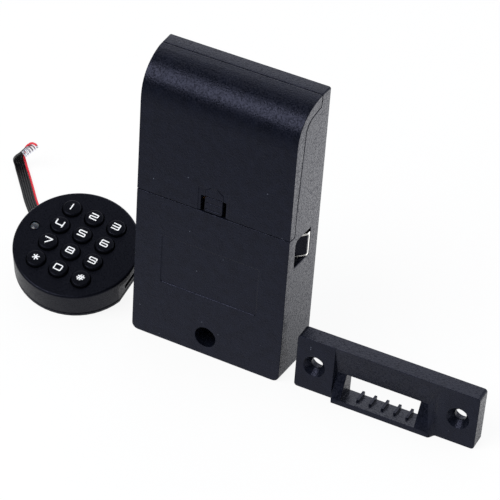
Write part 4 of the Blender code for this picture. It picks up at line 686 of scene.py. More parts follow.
def swept_grid(path: np.ndarray, side: np.ndarray, section: np.ndarray) -> np.ndarray:
    """Carry a flat section along a path.

    The tangent is the path's gradient, the side is made square to it, and their cross product
    is the normal; each section point is path + a * side + b * normal.

    Args:
        path: (n, 3) points.
        side: (n, 3) rough directions of the section's first axis.
        section: (m, 2) closed section.

    Returns:
        (n, m, 3) grid of points.
    """
    tangent = unit(np.gradient(path, axis=0))
    side = square_to(side, tangent)
    normal = np.cross(side, tangent)
    return (path[:, None] + section[None, :, :1] * side[:, None]
            + section[None, :, 1:] * normal[:, None])


def circle(radius: float, sides: int) -> np.ndarray:
    """Closed circle of (a, b) points."""
    angle = full_turn(sides)
    return radius * np.stack([np.cos(angle), np.sin(angle)], axis=1)


def wound(name: str, path: np.ndarray, side: np.ndarray, radius: float,
          sides: int = 12) -> Object:
    """Round wire along a path, closed at both ends."""
    return piece_from_grid(name, swept_grid(path, side, circle(radius, sides)), caps=True)


def smooth_through(points: Sequence[Point], steps: int) -> np.ndarray:
    """Catmull-Rom curve: a cubic for each stretch, from one point to the next.

    Its slope at a point is half the chord between the point's neighbours.

    Args:
        points: Points that the curve goes through.
        steps: Parts of each stretch.

    Returns:
        (n, 3) points of the curve.
    """
    rows = np.asarray(points, float)
    padded = np.concatenate([2 * rows[:1] - rows[1:2], rows, 2 * rows[-1:] - rows[-2:-1]])
    before, here, there, after = (padded[i:len(padded) - 3 + i, None] for i in range(4))
    t = (np.arange(steps) / steps)[None, :, None]
    curve = 0.5 * (2 * here + (there - before) * t
                   + (2 * before - 5 * here + 4 * there - after) * t ** 2
                   + (3 * here - before - 3 * there + after) * t ** 3)
    return np.concatenate([curve.reshape(-1, 3), rows[-1:]])


def block(low: Sequence[float], high: Sequence[float]) -> Object:
    """Box between two corners, as a cutting or joining tool.

    Args:
        low: Lowest corner.
        high: Highest corner.

    Returns:
        The tool.
    """
    form = bmesh.new()
    bmesh.ops.create_cube(form, size=1)
    tool = piece_from_form("tool", form)
    low, high = np.array(low), np.array(high)
    tool.data.transform(
        Matrix.Translation((low + high) / 2) @ Matrix.Diagonal((*(high - low), 1)))
    return tool


def pillar(radius: float, place: Spot, low: float, high: float) -> Object:
    """Upright cylinder, as a cutting or joining tool.

    Args:
        radius: Its radius.
        place: Its middle from above.
        low: Height of its foot.
        high: Height of its top.

    Returns:
        The tool.
    """
    grid = turned_grid(np.array([(radius, low), (radius, high)]), TOOL_SIDES)
    grid[..., :2] += place
    return piece_from_grid("tool", grid, caps=True)


def combine(target: Object, operation: str, *tools: Object) -> Object:
    """Join or cut tools one after another, with the exact Boolean, and remove them.

    Args:
        target: Piece that is changed.
        operation: UNION, DIFFERENCE or INTERSECT.
        tools: Objects to join or cut with.

    Returns:
        The changed piece.
    """
    for tool in tools:
        step = target.modifiers.new("tool", "BOOLEAN")
        step.operation = operation
        step.solver = "EXACT"
        step.object = tool
        settle(target)
        bpy.data.objects.remove(tool, do_unlink=True)
    return target


def settle(piece: Object) -> Object:
    """Bake a piece's modifiers into its mesh.

    Args:
        piece: Piece with live modifiers.

    Returns:
        The same piece without them.
    """
    bpy.context.view_layer.update()
    graph = bpy.context.evaluated_depsgraph_get()
    shape = bpy.data.meshes.new_from_object(piece.evaluated_get(graph))
    piece.modifiers.clear()
    piece.data = shape
    shape.name = piece.name
    return piece


def soften(piece: Object, width: float) -> Object:
    """Round a piece's edges with a Bevel and weight its normals by face area.

    Args:
        piece: Piece with sharp edges.
        width: Width of the rounding in metres.

    Returns:
        The same piece.
    """
    piece.data.shade_smooth()
    piece.data.set_sharp_from_angle(angle=EDGE_ANGLE)
    bevel = piece.modifiers.new("edges", "BEVEL")
    bevel.width = width
    bevel.segments = EDGE_FACES
    bevel.limit_method = "ANGLE"
    bevel.angle_limit = EDGE_ANGLE
    bevel.use_clamp_overlap = False
    bevel.miter_outer = "MITER_ARC"
    normals = piece.modifiers.new("normals", "WEIGHTED_NORMAL")
    normals.keep_sharp = True
    normals.weight = AREA_WEIGHT
    return piece


@dataclass
class SubAssembly:
    """A group of pieces: it builds its own and dresses the CAD nodes that stay."""

    nodes: dict[str, Object]
    palette: Palette

    def dress(self, slot: Slot, *names: str) -> None:
        """Give CAD nodes their finish.

        Args:
            slot: Record slot of the finish.
            names: The nodes.
        """
        for name in names:
            self.nodes[name].material_slots[0].material = self.palette[slot]
            LOG.info("dressed %s as %s", name, slot.value)

    def show(self, piece: Object, body: str, slot: Slot | None, *replaced: str,
             material: Material | None = None) -> Object:
        """Give a new piece its finish, its body and the nodes that it stands for.

        Args:
            piece: The new piece, in place.
            body: CAD body that it rides on.
            slot: Record slot of its finish, or None for a print or trim of its own.
            replaced: CAD nodes that it replaces.
            material: Finish to use instead of the slot's own.

        Returns:
            The piece.
        """
        piece.data.materials.clear()
        piece.data.materials.append(material or self.palette[slot])
        if replaced:
            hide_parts(*replaced)
        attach(piece, body)
        LOG.info("made %s on %s", piece.name, body)
        return piece

    def round_off(self, node: str, name: str, width: float, body: str, slot: Slot) -> None:
        """Let a copy of a CAD node with rounded edges stand for it.

        The node's loose triangles are welded together first.

        Args:
            node: CAD node to copy.
            name: Name of the new piece.
            width: Width of the rounding in metres.
            body: CAD body that it rides on.
            slot: Record slot of its finish.
        """
        form = bmesh.new()
        form.from_mesh(self.nodes[node].data)
        bmesh.ops.remove_doubles(form, verts=form.verts, dist=WELD)
        bmesh.ops.recalc_face_normals(form, faces=form.faces)
        self.show(soften(piece_from_form(name, form), width), body, slot, node)


@dataclass(frozen=True)
class Screw:
    """Countersunk screw with a cross recess; its head's face is at height zero.

    The cross is as deep as its bars are wide. Shares are of the head's radius, of half a bar's
    width and of the shank's radius.
    """

    radius: float
    head_radius: float
    head_height: float
    length: float
    recess: float
    recess_reach: float = 0.62
    recess_slope: float = 0.6
    face_share: float = 0.94
    rim_drop: float = 0.05
    thread_pitch: float = 0.8 * MM
    thread_depth: float = 0.07
    face_rings: int = 22
    shank_rings: int = 40
    sides: int = 64
    smooth_deg: float = 50.0

    def grid(self) -> np.ndarray:
        """Head face, cone, threaded shank and point as one turned grid.

        The face sinks where a point lies in one of two crossed bars, by a ramp of half the
        bar's width minus the point's distance from the bar's middle, down to the recess's
        depth. The shank's radius waves with the angle plus the height over the pitch.

        Returns:
            (rows, sides, 3) grid of points.
        """
        head = self.head_radius
        face = np.linspace(0, self.face_share, self.face_rings)[:, None] * head
        rim = [(head, -self.rim_drop * head), (self.radius, -self.head_height)]
        depths = np.linspace(self.head_height, self.length - self.radius, self.shank_rings)[1:]
        shank = [(self.radius, -depth) for depth in depths.tolist()]
        profile = np.concatenate([
            np.concatenate([face, np.zeros_like(face)], axis=1),
            rim, shank, [(0.0, -self.length)]])
        grid = turned_grid(profile, self.sides)
        x, y = np.abs(grid[:self.face_rings, :, 0]), np.abs(grid[:self.face_rings, :, 1])
        half, reach = self.recess / 2, self.recess_reach * head
        inside = np.maximum(np.minimum(half - x, reach - y), np.minimum(half - y, reach - x))
        sunk = np.clip(inside / (self.recess_slope * half), 0, 1)
        grid[:self.face_rings, :, 2] -= self.recess * sunk
        first = self.face_rings + len(rim)
        turns = profile[first:-1, 1:] / self.thread_pitch
        wave = np.cos(full_turn(self.sides)[None] + 2 * math.pi * turns)
        grid[first:-1, :, :2] *= (1 - self.thread_depth * (1 - wave))[..., None]
        return grid

    def make(self, name: str, place: Matrix) -> Object:
        """Make the screw at a place whose +Z is out of the head.

        Args:
            name: Name of the piece.
            place: Place and turn of the head's middle.

        Returns:
            The screw.
        """
        piece = piece_from_grid(name, self.grid(), smooth_deg=self.smooth_deg)
        piece.data.transform(place)
        return piece


@dataclass
class LockBody(SubAssembly):
    """Housing, battery cover with its tab, back plate and case screws."""

    edge: float = 0.2 * MM
    depth: float = 21.0 * MM
    arrow_half: float = 3.55 * MM
    arrow_base: float = 68.6 * MM
    arrow_shoulder: float = 71.0 * MM
    arrow_tip: float = 73.4 * MM
    arrow_depth: float = 0.25 * MM
    arrow_wire: float = 0.19 * MM
    screw: Screw = Screw(1.1 * MM, 2.2 * MM, 1.1 * MM, 10.5 * MM, 0.75 * MM)
    screw_x: Spot = (22.0 * MM, 26.6 * MM)
    screw_z: Spot = (6.5 * MM, 98.0 * MM)
    screw_sink: float = 0.1 * MM

    def build(self) -> None:
        """Build and dress the whole body."""
        for node, body in (("housing", "root"), ("battery_cover", "cover"),
                           ("cover_tab", "tab"), ("back_plate", "root")):
            self.round_off(node, f"{node}_moulding", self.edge, body, Slot.BODY)
        self.arrow()
        self.screws()

    def arrow(self) -> None:
        """Raised outline of a house-shaped arrow above the tab: a thin wire half sunk in."""
        front = -self.depth / 2 + self.arrow_depth
        corners = [(-self.arrow_half, self.arrow_base), (-self.arrow_half, self.arrow_shoulder),
                   (0.0, self.arrow_tip), (self.arrow_half, self.arrow_shoulder),
                   (self.arrow_half, self.arrow_base)]
        path = np.array([(x, front, z) for x, z in corners])
        side = np.broadcast_to([0.0, 1.0, 0.0], path.shape)
        self.show(wound("cover_arrow", path, side, self.arrow_wire), "cover", Slot.BODY)

    def screws(self) -> None:
        """Four case screws, their heads flush in the back plate."""
        turn = Matrix.Rotation(-math.pi / 2, 4, "X")
        places = [(side * x, z) for x, z in zip(self.screw_x, self.screw_z)
                  for side in (-1, 1)]
        for number, (x, z) in enumerate(places, 1):
            spot = Matrix.Translation((x, self.depth / 2 - self.screw_sink, z))
            self.show(self.screw.make(f"case_screw_{number}_cross", spot @ turn), "root",
                      Slot.STEEL, f"case_screw_{number}")


@dataclass
class BoltGear(SubAssembly):
    """Bolt with its steel strip, the pinion that drives it and the spring that returns it."""

    bolt_edge: float = 0.18 * MM
    strip_edge: float = 0.1 * MM
    pinion_edge: float = 0.06 * MM
    shaft_edge: float = 0.08 * MM
    wire: float = 0.225 * MM
    coil_radius: float = 1.5 * MM
    loop_radius: float = 1.2 * MM
    loop_start_deg: float = -210.0
    loop_end_deg: float = 90.0
    loop_points: int = 48
    turns: int = 11
    lead: float = 1.6 * MM
    peg_tail_x: float = -15.0 * MM
    peg_plate_x: float = 8.0 * MM
    middle_z: float = 53.3 * MM
    spring_depth: float = 6.025 * MM
    travel: float = 9.0 * MM

    def build(self) -> None:
        """Build and dress the moving group."""
        self.round_off("bolt", "bolt_moulding", self.bolt_edge, "bolt", Slot.CASE)
        self.round_off("bolt_strip", "bolt_strip_folded", self.strip_edge, "bolt", Slot.STEEL)
        self.round_off("pinion", "pinion_moulding", self.pinion_edge, "pinion", Slot.NYLON)
        self.round_off("output_shaft", "output_shaft_turned", self.shaft_edge, "pinion",
                       Slot.STEEL)
        self.spring()

    def spring(self) -> None:
        """Extension spring: a helix about X and a loop round each peg.

        Coil points are y, z = radius times sine, cosine of the turn; a loop is a circle in x
        and z about its peg.
        """
        y, z = self.spring_depth, self.middle_z
        loop = np.radians(np.linspace(self.loop_start_deg, self.loop_end_deg,
                                      self.loop_points))
        first = np.stack([self.peg_tail_x + self.loop_radius * np.sin(loop),
                          np.full(loop.shape, y), z + self.loop_radius * np.cos(loop)], axis=1)
        start = self.peg_tail_x + self.loop_radius + self.lead
        end = self.peg_plate_x - self.loop_radius - self.lead
        share = np.linspace(0, 1, self.turns * STEPS_PER_TURN + 1)
        angle = 2 * math.pi * self.turns * share
        coil = np.stack([start + (end - start) * share, y + self.coil_radius * np.sin(angle),
                         z + self.coil_radius * np.cos(angle)], axis=1)
        last = first[::-1] * (-1, 1, 1) + (self.peg_tail_x + self.peg_plate_x, 0, 0)
        path = np.concatenate([first, coil, last])
        out = np.concatenate([
            first - (self.peg_tail_x, y, z), (coil - (0, y, z)) * (0, 1, 1),
            last - (self.peg_plate_x, y, z)])
        piece = wound("bolt_spring_wound", path, out, self.wire)
        self.show(piece, "root", Slot.STEEL, "bolt_spring")
        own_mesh(piece)


@dataclass
class BatteryBay(SubAssembly):
    """Four dry cells between nickel-plated contacts, each on its cone spring."""

    cells: int = 4
    cell_radius: float = 5.25 * MM
    cell_length: float = 44.5 * MM
    nub_height: float = 1.0 * MM
    nub_round: float = 0.3 * MM
    nub_flat: float = 1.6 * MM
    nub_steps: int = 4
    crimp: float = 0.5 * MM
    crimp_steps: int = 5
    sleeve_margin: float = 1.0 * MM
    sleeve_rings: int = 12
    cell_sides: int = 72
    smooth_deg: float = 50.0
    base_steps: tuple[Spot, ...] = (
        (0.0, 0.0), (3.4 * MM, 0.0), (3.7 * MM, 0.15 * MM), (4.5 * MM, 0.15 * MM))
    cap_steps: tuple[Spot, ...] = (
        (4.3 * MM, -0.1 * MM), (4.1 * MM, -0.35 * MM), (2.3 * MM, -0.35 * MM), (1.9 * MM, 0.0))
    bare_radius: float = 4.4 * MM
    bare_base: float = 0.3 * MM
    bare_top: float = 1.6 * MM
    spring_height: float = 3.5 * MM
    wire: float = 0.25 * MM
    base_radius: float = 3.4 * MM
    top_radius: float = 2.4 * MM
    turns: int = 3

    def build(self) -> None:
        """Build the cells and springs and dress the contact plates."""
        self.dress(Slot.NICKEL, "contact_bottom_left", "contact_bottom_right",
                   "contact_top_left", "contact_top_middle", "contact_top_right")
        for number in range(1, self.cells + 1):
            upright = number % 2 == 1
            turn = Matrix.Identity(4) if upright else Matrix.Rotation(math.pi, 4, "X")
            low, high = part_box(f"battery_cell_{number}")
            x, y = (low.x + high.x) / 2, (low.y + high.y) / 2
            for node, make in (("battery_cell", self.cell), ("contact_spring", self.spring)):
                low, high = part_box(f"{node}_{number}")
                base = low.z if upright else high.z
                make(number, Matrix.Translation((x, y, base)) @ turn)

    def cell(self, number: int, place: Matrix) -> None:
        """One cell turned from its profile: sleeve, crimped rims, cap and nub.

        Args:
            number: Number of the cell.
            place: Place and turn of its minus end.
        """
        radius, length, crimp = self.cell_radius, self.cell_length, self.crimp
        top = length - self.nub_height
        profile = np.array([
            *self.base_steps,
            *arc((radius - crimp, crimp), crimp, -90, 0, self.crimp_steps),
            *np.linspace((radius, self.sleeve_margin), (radius, top - self.sleeve_margin),
                         self.sleeve_rings).tolist(),
            *arc((radius - crimp, top - crimp), crimp, 0, 90, self.crimp_steps),
            *((step, top + height) for step, height in self.cap_steps),
            *arc((self.nub_flat, length - self.nub_round), self.nub_round, 0, 90,
                 self.nub_steps),
            (0.0, length)])
        piece = piece_from_grid(f"dry_cell_{number}", turned_grid(profile, self.cell_sides),
                                smooth_deg=self.smooth_deg)
        piece.data.transform(place)
        self.show(piece, "root", Slot.CELL, f"battery_cell_{number}")
        piece.data.materials.append(self.palette[Slot.NICKEL])
        metal = self.bare_faces(piece.data.polygons, place.inverted())
        piece.data.polygons.foreach_set("material_index", metal.astype(np.int32))
        LOG.info("cell %d has %d bare faces", number, int(metal.sum()))

    def bare_faces(self, polygons: bpy.types.MeshPolygons, home: Matrix) -> np.ndarray:
        """Tell which faces are bare metal: those inside the crimped rims at either end.

        Args:
            polygons: Faces of a cell in place.
            home: Way back from its place.

        Returns:
            True for each bare face.
        """
        centres = np.array([tuple(home @ face.center) for face in polygons])
        reach = np.hypot(centres[:, 0], centres[:, 1])
        height = centres[:, 2]
        ends = (height < self.bare_base) | (height > self.cell_length - self.bare_top)
        return ends & (reach < self.bare_radius)

    def spring(self, number: int, place: Matrix) -> None:
        """Cone spring: radius falls and height rises evenly with the turn.

        Args:
            number: Number of the cell that it bears.
            place: Place and turn of its wide end.
        """
        share = np.linspace(0, 1, self.turns * STEPS_PER_TURN + 1)
        angle = 2 * math.pi * self.turns * share
        radius = self.base_radius + (self.top_radius - self.base_radius) * share
        height = self.wire + (self.spring_height - 2 * self.wire) * share
        out = np.stack([np.cos(angle), np.sin(angle), np.zeros_like(angle)], axis=1)
        path = out * radius[:, None]
        path[:, 2] = height
        piece = wound(f"cone_spring_{number}", path, out, self.wire)
        piece.data.transform(place)
        self.show(piece, "root", Slot.NICKEL, f"contact_spring_{number}")


@dataclass
class Electronics(SubAssembly):
    """Boards, chip, buzzer, socket and geared motor, all hidden in the closed body."""

    def build(self) -> None:
        """Dress the hidden pieces."""
        for slot, node in ((Slot.BOARD, "main_board"), (Slot.CHIP, "controller_chip"),
                           (Slot.CASE, "buzzer"), (Slot.NYLON, "cable_socket"),
                           (Slot.STEEL, "motor_can"), (Slot.BRASS, "gearbox")):
            self.dress(slot, node)


class Glyph(Enum):
    """Strokes of each key's sign on a field 2 wide and 2 high, its middle at zero.

    The signs stand in the order of the keys, row by row from the top.
    """

    ONE = ("1", [[(0, -1), (0, 1)]])
    TWO = ("2", [[(-0.85, 1), (1, 1), (1, 0.05), (-1, -0.05), (-1, -1), (1, -1)]])
    THREE = ("3", [[(-0.9, 1), (1, 1), (1, -1), (-1, -1)], [(-0.95, 0), (1, 0)]])
    FOUR = ("4", [[(-1.15, 1), (-1.15, -0.55), (1, -0.55)], [(1, 1), (1, -1)]])
    FIVE = ("5", [[(0.95, 1), (-1, 1), (-1, 0.05), (1, -0.05), (1, -1), (-1, -1)]])
    SIX = ("6", [[(0.85, 1), (-1, 1), (-1, -1), (1, -1), (1, 0), (-1, 0)]])
    SEVEN = ("7", [[(-1.1, 0.9), (1.1, 0.9), (-0.35, -1.1)]])
    EIGHT = ("8", [[(0, 1), (0.92, 1), (0.92, 0), (-0.92, 0), (-0.92, 1), (0, 1)],
                   [(0, 0), (1, 0), (1, -1), (-1, -1), (-1, 0), (0, 0)]])
    NINE = ("9", [[(-0.85, -1), (1, -1), (1, 1), (-1, 1), (-1, 0), (1, 0)]])
    STAR = ("star", [[(0, -0.9), (0, 0.9)], [(-0.7, -0.5), (0.7, 0.5)],
                     [(-0.7, 0.5), (0.7, -0.5)]])
    ZERO = ("0", [[(0, 1), (1, 1), (1, -1), (-1, -1), (-1, 1), (0, 1)]])
    HASH = ("hash", [[(-0.1, 0.95), (-0.5, -0.95)], [(0.5, 0.95), (0.1, -0.95)],
                     [(-0.75, 0.36), (0.9, 0.36)], [(-0.9, -0.36), (0.75, -0.36)]])

    @property
    def key(self) -> str:
        """Name of the key that bears the sign."""
        return self.value[0]

    @property
    def strokes(self) -> list[list[Spot]]:
        """Lines through the middle of each stroke."""
        return self.value[1]


@dataclass
class Keypad(SubAssembly):
    """Round keypad: case, twelve keys with their signs, light pipe, back, spigot and screws."""

    centre: Point = (-60.57 * MM, 0.02 * MM, 19.09 * MM)
    turn_deg: float = 18.24
    tilt_deg: float = 19.2
    spin_deg: float = -18.31
    face_radius: float = 23.7 * MM
    back_radius: float = 23.87 * MM
    thickness: float = 11.9 * MM
    back_thickness: float = 1.5 * MM
    gap: float = 0.3 * MM
    case_sides: int = 160
    edge_radius: float = 0.9 * MM
    edge_steps: int = 10
    foot_radius: float = 0.25 * MM
    foot_steps: int = 4
    inner_edge: float = 0.12 * MM
    back_edge: float = 0.2 * MM
    wall: float = 1.8 * MM
    flat: float = 22.5 * MM
    flat_start: float = 3.0 * MM
    flat_inset: float = 0.5 * MM
    tool_reach: float = 3.0 * MM
    key_sides: int = 64
    key_radius: float = 3.5 * MM
    key_rise: float = 1.2 * MM
    key_edge: float = 0.6 * MM
    key_edge_steps: int = 8
    flange_radius: float = 4.1 * MM
    flange_thickness: float = 0.8 * MM
    pitch_across: float = 9.55 * MM
    pitch_up: float = 8.60 * MM
    rows: int = 4
    columns: int = 3
    lens_sides: int = 48
    lens_rings: int = 9
    lens_x: float = -18.0 * MM
    lens_radius: float = 1.5 * MM
    lens_dome: float = 0.35 * MM
    lens_sink: float = 0.25 * MM
    lens_foot: Spot = (2.3 * MM, 0.9 * MM)
    ring_inner: float = 1.75 * MM
    ring_half: float = 0.22 * MM
    ring_sink: float = 0.05 * MM
    ring_bottom: float = 0.2 * MM
    post_circle: float = 19.9 * MM
    post_degrees: Point = (90.0, 214.0, 326.0)
    post_radius: float = 2.3 * MM
    bore_radius: float = 1.2 * MM
    bore_top: float = 5.1 * MM
    screw: Screw = Screw(0.9 * MM, 1.7 * MM, 0.8 * MM, 6.5 * MM, 0.6 * MM)
    screw_sink: float = 0.1 * MM
    port_drop: float = 7.8 * MM
    port_width: float = 7.2 * MM
    port_height: float = 2.0 * MM
    print_half_width: float = 1.62 * MM
    print_half_height: float = 1.37 * MM
    print_shift: Spot = (-0.15 * MM, 0.22 * MM)
    print_corner: float = 0.34 * MM
    stroke: float = 0.46 * MM
    print_smooth_deg: float = 40.0
    print_thickness: float = 0.03 * MM
    print_sink: float = 0.02 * MM

    def __post_init__(self) -> None:
        """Work out the keypad's own frame: +Z out of its face and +X along a key row."""
        lean = Matrix.Identity(4)
        for degrees, axis in ((self.turn_deg, "Z"), (self.tilt_deg, "X"), (self.spin_deg, "Z")):
            lean = lean @ Matrix.Rotation(math.radians(degrees), 4, axis)
        self.place = Matrix.Translation(self.centre) @ lean
        self.shelf = -self.wall - self.gap

    def build(self) -> None:
        """Build the case, the keys and the light pipe, and dress what lies inside."""
        self.case()
        for glyph, across, up in self.key_places():
            self.key(glyph.key, across, up)
            self.sign(glyph, across, up)
        self.lens()
        self.round_off("keypad_back", "keypad_back_moulding", self.back_edge, "root", Slot.CASE)
        self.screws()
        for slot, node in ((Slot.RUBBER, "key_mat"), (Slot.BOARD, "keypad_board"),
                           (Slot.NICKEL, "power_port")):
            self.dress(slot, node)

    def put(self, piece: Object) -> Object:
        """Bring a piece from the keypad's frame into the lock's frame."""
        piece.data.transform(self.place)
        return piece

    def turned(self, name: str, profile: Sequence[Spot], sides: int, place: Spot) -> Object:
        """Turn a profile about an axis square to the face, at a place on it.

        Args:
            name: Name of the piece.
            profile: Radii and heights.
            sides: Points round the axis.
            place: Where the axis meets the face.

        Returns:
            The piece in the lock's frame.
        """
        grid = turned_grid(np.array(profile), sides)
        grid[..., :2] += place
        return self.put(piece_from_grid(name, grid))

    def key_places(self) -> list[tuple[Glyph, float, float]]:
        """Sign and place of each key, row by row from the top.

        Returns:
            Each key's sign, its way across the face and its way up it.
        """
        middle_row, middle_column = (self.rows - 1) / 2, (self.columns - 1) / 2
        cells = [(glyph, *divmod(number, self.columns)) for number, glyph in enumerate(Glyph)]
        return [(glyph, (column - middle_column) * self.pitch_across,
                 (middle_row - row) * self.pitch_up) for glyph, row, column in cells]

    def posts(self) -> list[Spot]:
        """Middle of each screw post."""
        return [(self.post_circle * math.cos(angle), self.post_circle * math.sin(angle))
                for angle in np.radians(self.post_degrees).tolist()]

    def case(self) -> None:
        """Turned cap with a round edge, then the flat, posts, key holes and power slot."""
        radius, edge, foot = self.face_radius, self.edge_radius, self.foot_radius
        bottom = -self.thickness + self.back_thickness + self.gap
        low = radius - (self.back_radius - radius) / self.thickness * bottom
        inner, inset = radius - self.wall, radius - self.flat_inset
        case = piece_from_grid("keypad_case", turned_grid(np.array([
            (0.0, 0.0), *arc((radius - edge, -edge), edge, 90, 0, self.edge_steps),
            *arc((low - foot, bottom + foot), foot, 0, -90, self.foot_steps),
            (inner, bottom), (inner, -self.wall), (0.0, -self.wall)]), self.case_sides))
        reach = self.tool_reach
        wall = block((self.flat - self.wall, -self.flat / 2, bottom),
                     (self.flat, self.flat / 2, -self.wall / 2))
        combine(wall, "INTERSECT", piece_from_grid("tool", turned_grid(np.array([
            (0, 0), (inset, 0), (inset, bottom), (0, bottom)]), self.case_sides)))
        combine(case, "UNION", wall)
        combine(case, "DIFFERENCE", block(
            (self.flat, -radius, bottom - reach),
            (self.back_radius + reach, radius, -self.flat_start)))
        for spot in self.posts():
            combine(case, "UNION", pillar(self.post_radius, spot, bottom, -self.wall / 2))
            combine(case, "DIFFERENCE", pillar(
                self.bore_radius, spot, bottom - reach, -self.bore_top))
        holes = [(self.key_radius, (across, up)) for _, across, up in self.key_places()]
        for size, spot in (*holes, (self.lens_radius, (self.lens_x, 0))):
            combine(case, "DIFFERENCE", pillar(size + self.gap, spot, -reach, reach))
        across, middle, up = self.port_width / 2, -self.port_drop, self.port_height / 2
        combine(case, "DIFFERENCE", block(
            (self.flat - self.wall - reach, -across, middle - up),
            (self.flat + reach, across, middle + up)))
        self.put(case)
        self.show(soften(case, self.inner_edge), "root", Slot.CASE, "keypad_shell")

    def key(self, name: str, across: float, up: float) -> None:
        """One key: flat top with a round edge over a guiding flange.

        Args:
            name: Name of the key.
            across: Its way across the face.
            up: Its way up the face.
        """
        top, edge = self.key_rise, self.key_edge
        foot = self.shelf - self.flange_thickness
        piece = self.turned(f"keycap_{name}", [
            (0.0, top),
            *arc((self.key_radius - edge, top - edge), edge, 90, 0, self.key_edge_steps),
            (self.key_radius, self.shelf), (self.flange_radius, self.shelf),
            (self.flange_radius, foot), (0.0, foot)], self.key_sides, (across, up))
        self.show(piece, f"key_{name}", Slot.KEY, f"key_{name}")

    def sign(self, glyph: Glyph, across: float, up: float) -> None:
        """White sign printed on a key: each stroke is a flat bar with round corners.

        Args:
            glyph: The sign.
            across: The key's way across the face.
            up: The key's way up the face.
        """
        scale = np.array([self.print_half_width, self.print_half_height]) - self.stroke / 2
        middle = np.array([across, up]) + self.print_shift
        bars = [stroke_bar(
            rounded_line(np.array(line, float) * scale + middle, self.print_corner),
            self.stroke, self.key_rise - self.print_sink, self.key_rise + self.print_thickness)
            for line in glyph.strokes]
        piece = combine(bars[0], "UNION", *bars[1:])
        piece.name = piece.data.name = f"sign_{glyph.key}"
        self.put(tidied(piece, self.print_smooth_deg))
        self.show(piece, f"key_{glyph.key}", None, material=self.palette.print)

    def lens(self) -> None:
        """Light pipe with a slightly domed end, and the dark ring around it.

        The dome's height falls with the square of the way out from its middle.
        """
        place, (wide, thick) = (self.lens_x, 0), self.lens_foot
        share = np.linspace(0, 1, self.lens_rings)
        dome = np.stack([self.lens_radius * share,
                         self.lens_dome * (1 - share ** 2) - self.lens_sink], axis=1)
        pipe = self.turned("light_pipe", [
            *dome.tolist(), (self.lens_radius, self.shelf), (wide, self.shelf),
            (wide, self.shelf - thick), (0.0, self.shelf - thick)], self.lens_sides, place)
        self.show(pipe, "root", Slot.LENS, "led_lens")
        inner, half = self.ring_inner, self.ring_half
        rim = [*arc((inner + half, -self.ring_sink), half, 180, 0, self.edge_steps),
               (inner + 2 * half, -self.ring_bottom), (inner, -self.ring_bottom)]
        ring = self.turned("light_ring", rim + rim[:1], self.key_sides, place)
        self.show(ring, "root", Slot.KEY)

    def screws(self) -> None:
        """Three screws from the back."""
        turn = Matrix.Rotation(math.pi, 4, "X")
        for number, (across, up) in enumerate(self.posts(), 1):
            spot = Matrix.Translation((across, up, -self.thickness + self.screw_sink))
            piece = self.screw.make(f"keypad_screw_{number}_cross", spot @ turn)
            self.show(self.put(piece), "root", Slot.STEEL, f"keypad_screw_{number}")


def rounded_line(line: np.ndarray, reach: float, steps: int = 5) -> np.ndarray:
    """Round a line's inner corners, each by the parabola that touches both its arms.

    A parabola's point is (1-t)^2 a + 2t(1-t) corner + t^2 b, a and b one reach away on the
    arms, or half an arm's length where that is less.

    Args:
        line: (n, 2) points.
        reach: How far from the corner the rounding starts.
        steps: Stretches along each rounding.

    Returns:
        (m, 2) points of the rounded line.
    """
    corner = line[1:-1]
    t = np.linspace(0, 1, steps + 1)[None, :, None]
    ends = []
    for other in (line[:-2], line[2:]):
        arm = other - corner
        length = np.linalg.norm(arm, axis=1, keepdims=True)
        ends.append((corner + arm * np.minimum(reach / length, HALF_ARM))[:, None])
    bends = (1 - t) ** 2 * ends[0] + 2 * t * (1 - t) * corner[:, None] + t ** 2 * ends[1]
    return np.concatenate([line[:1], bends.reshape(-1, 2), line[-1:]])


def stroke_bar(line: np.ndarray, width: float, low: float, high: float) -> Object:
    """Flat bar along a line: mitred sides, square ends, between two heights.

    A corner's offset is the sum of its neighbours' normals over one plus their dot product.

    Args:
        line: (n, 2) points of the middle.
        width: Width of the bar.
        low: Height of its underside.
        high: Height of its top.

    Returns:
        The bar as an object.
    """
    closed = np.allclose(line[0], line[-1])
    run = unit(np.diff(line, axis=0))
    across = np.stack([-run[:, 1], run[:, 0]], axis=1)
    before = np.concatenate([across[-1:] if closed else across[:1], across])
    after = np.concatenate([across, across[:1] if closed else across[-1:]])
    dot = np.sum(before * after, axis=1, keepdims=True)
    offset = (before + after) / (1 + dot) * width / 2
    ends = line.copy()
    if not closed:
        ends[0] -= run[0] * width / 2
        ends[-1] += run[-1] * width / 2
    left, right = ends + offset, ends - offset
    section = [np.column_stack([side, np.full(len(side), level)])
               for side, level in ((left, low), (left, high), (right, high), (right, low))]
    return piece_from_grid("stroke", np.stack(section, axis=1), caps=not closed)


def joined(name: str, pieces: list[Object]) -> Object:
    """Put the meshes of several pieces into one piece and remove them.

    Args:
        name: Name of the new piece.
        pieces: Pieces to put together.

    Returns:
        The new piece.
    """
    form = bmesh.new()
    for piece in pieces:
        form.from_mesh(piece.data)
        bpy.data.objects.remove(piece, do_unlink=True)
    return piece_from_form(name, form)


# Middle of the cable as (x, depth behind the body's front, height) in millimetres
CABLE_ROUTE = [
    (-67.95, 20.00, 5.35), (-73.00, 23.80, 5.90), (-79.50, 28.30, 4.30), (-87.00, 33.20, 1.70),
    (-94.50, 38.70, 0.70), (-102.00, 45.90, 0.60), (-108.50, 53.30, 0.60),
    (-114.00, 59.60, 0.60), (-117.70, 63.80, 0.60), (-119.90, 66.30, 0.90),
    (-120.85, 66.85, 2.60), (-120.30, 66.65, 4.90), (-118.90, 66.60, 7.50),
    (-117.00, 66.60, 9.40), (-115.30, 66.00, 9.65), (-113.85, 65.00, 9.35),
]
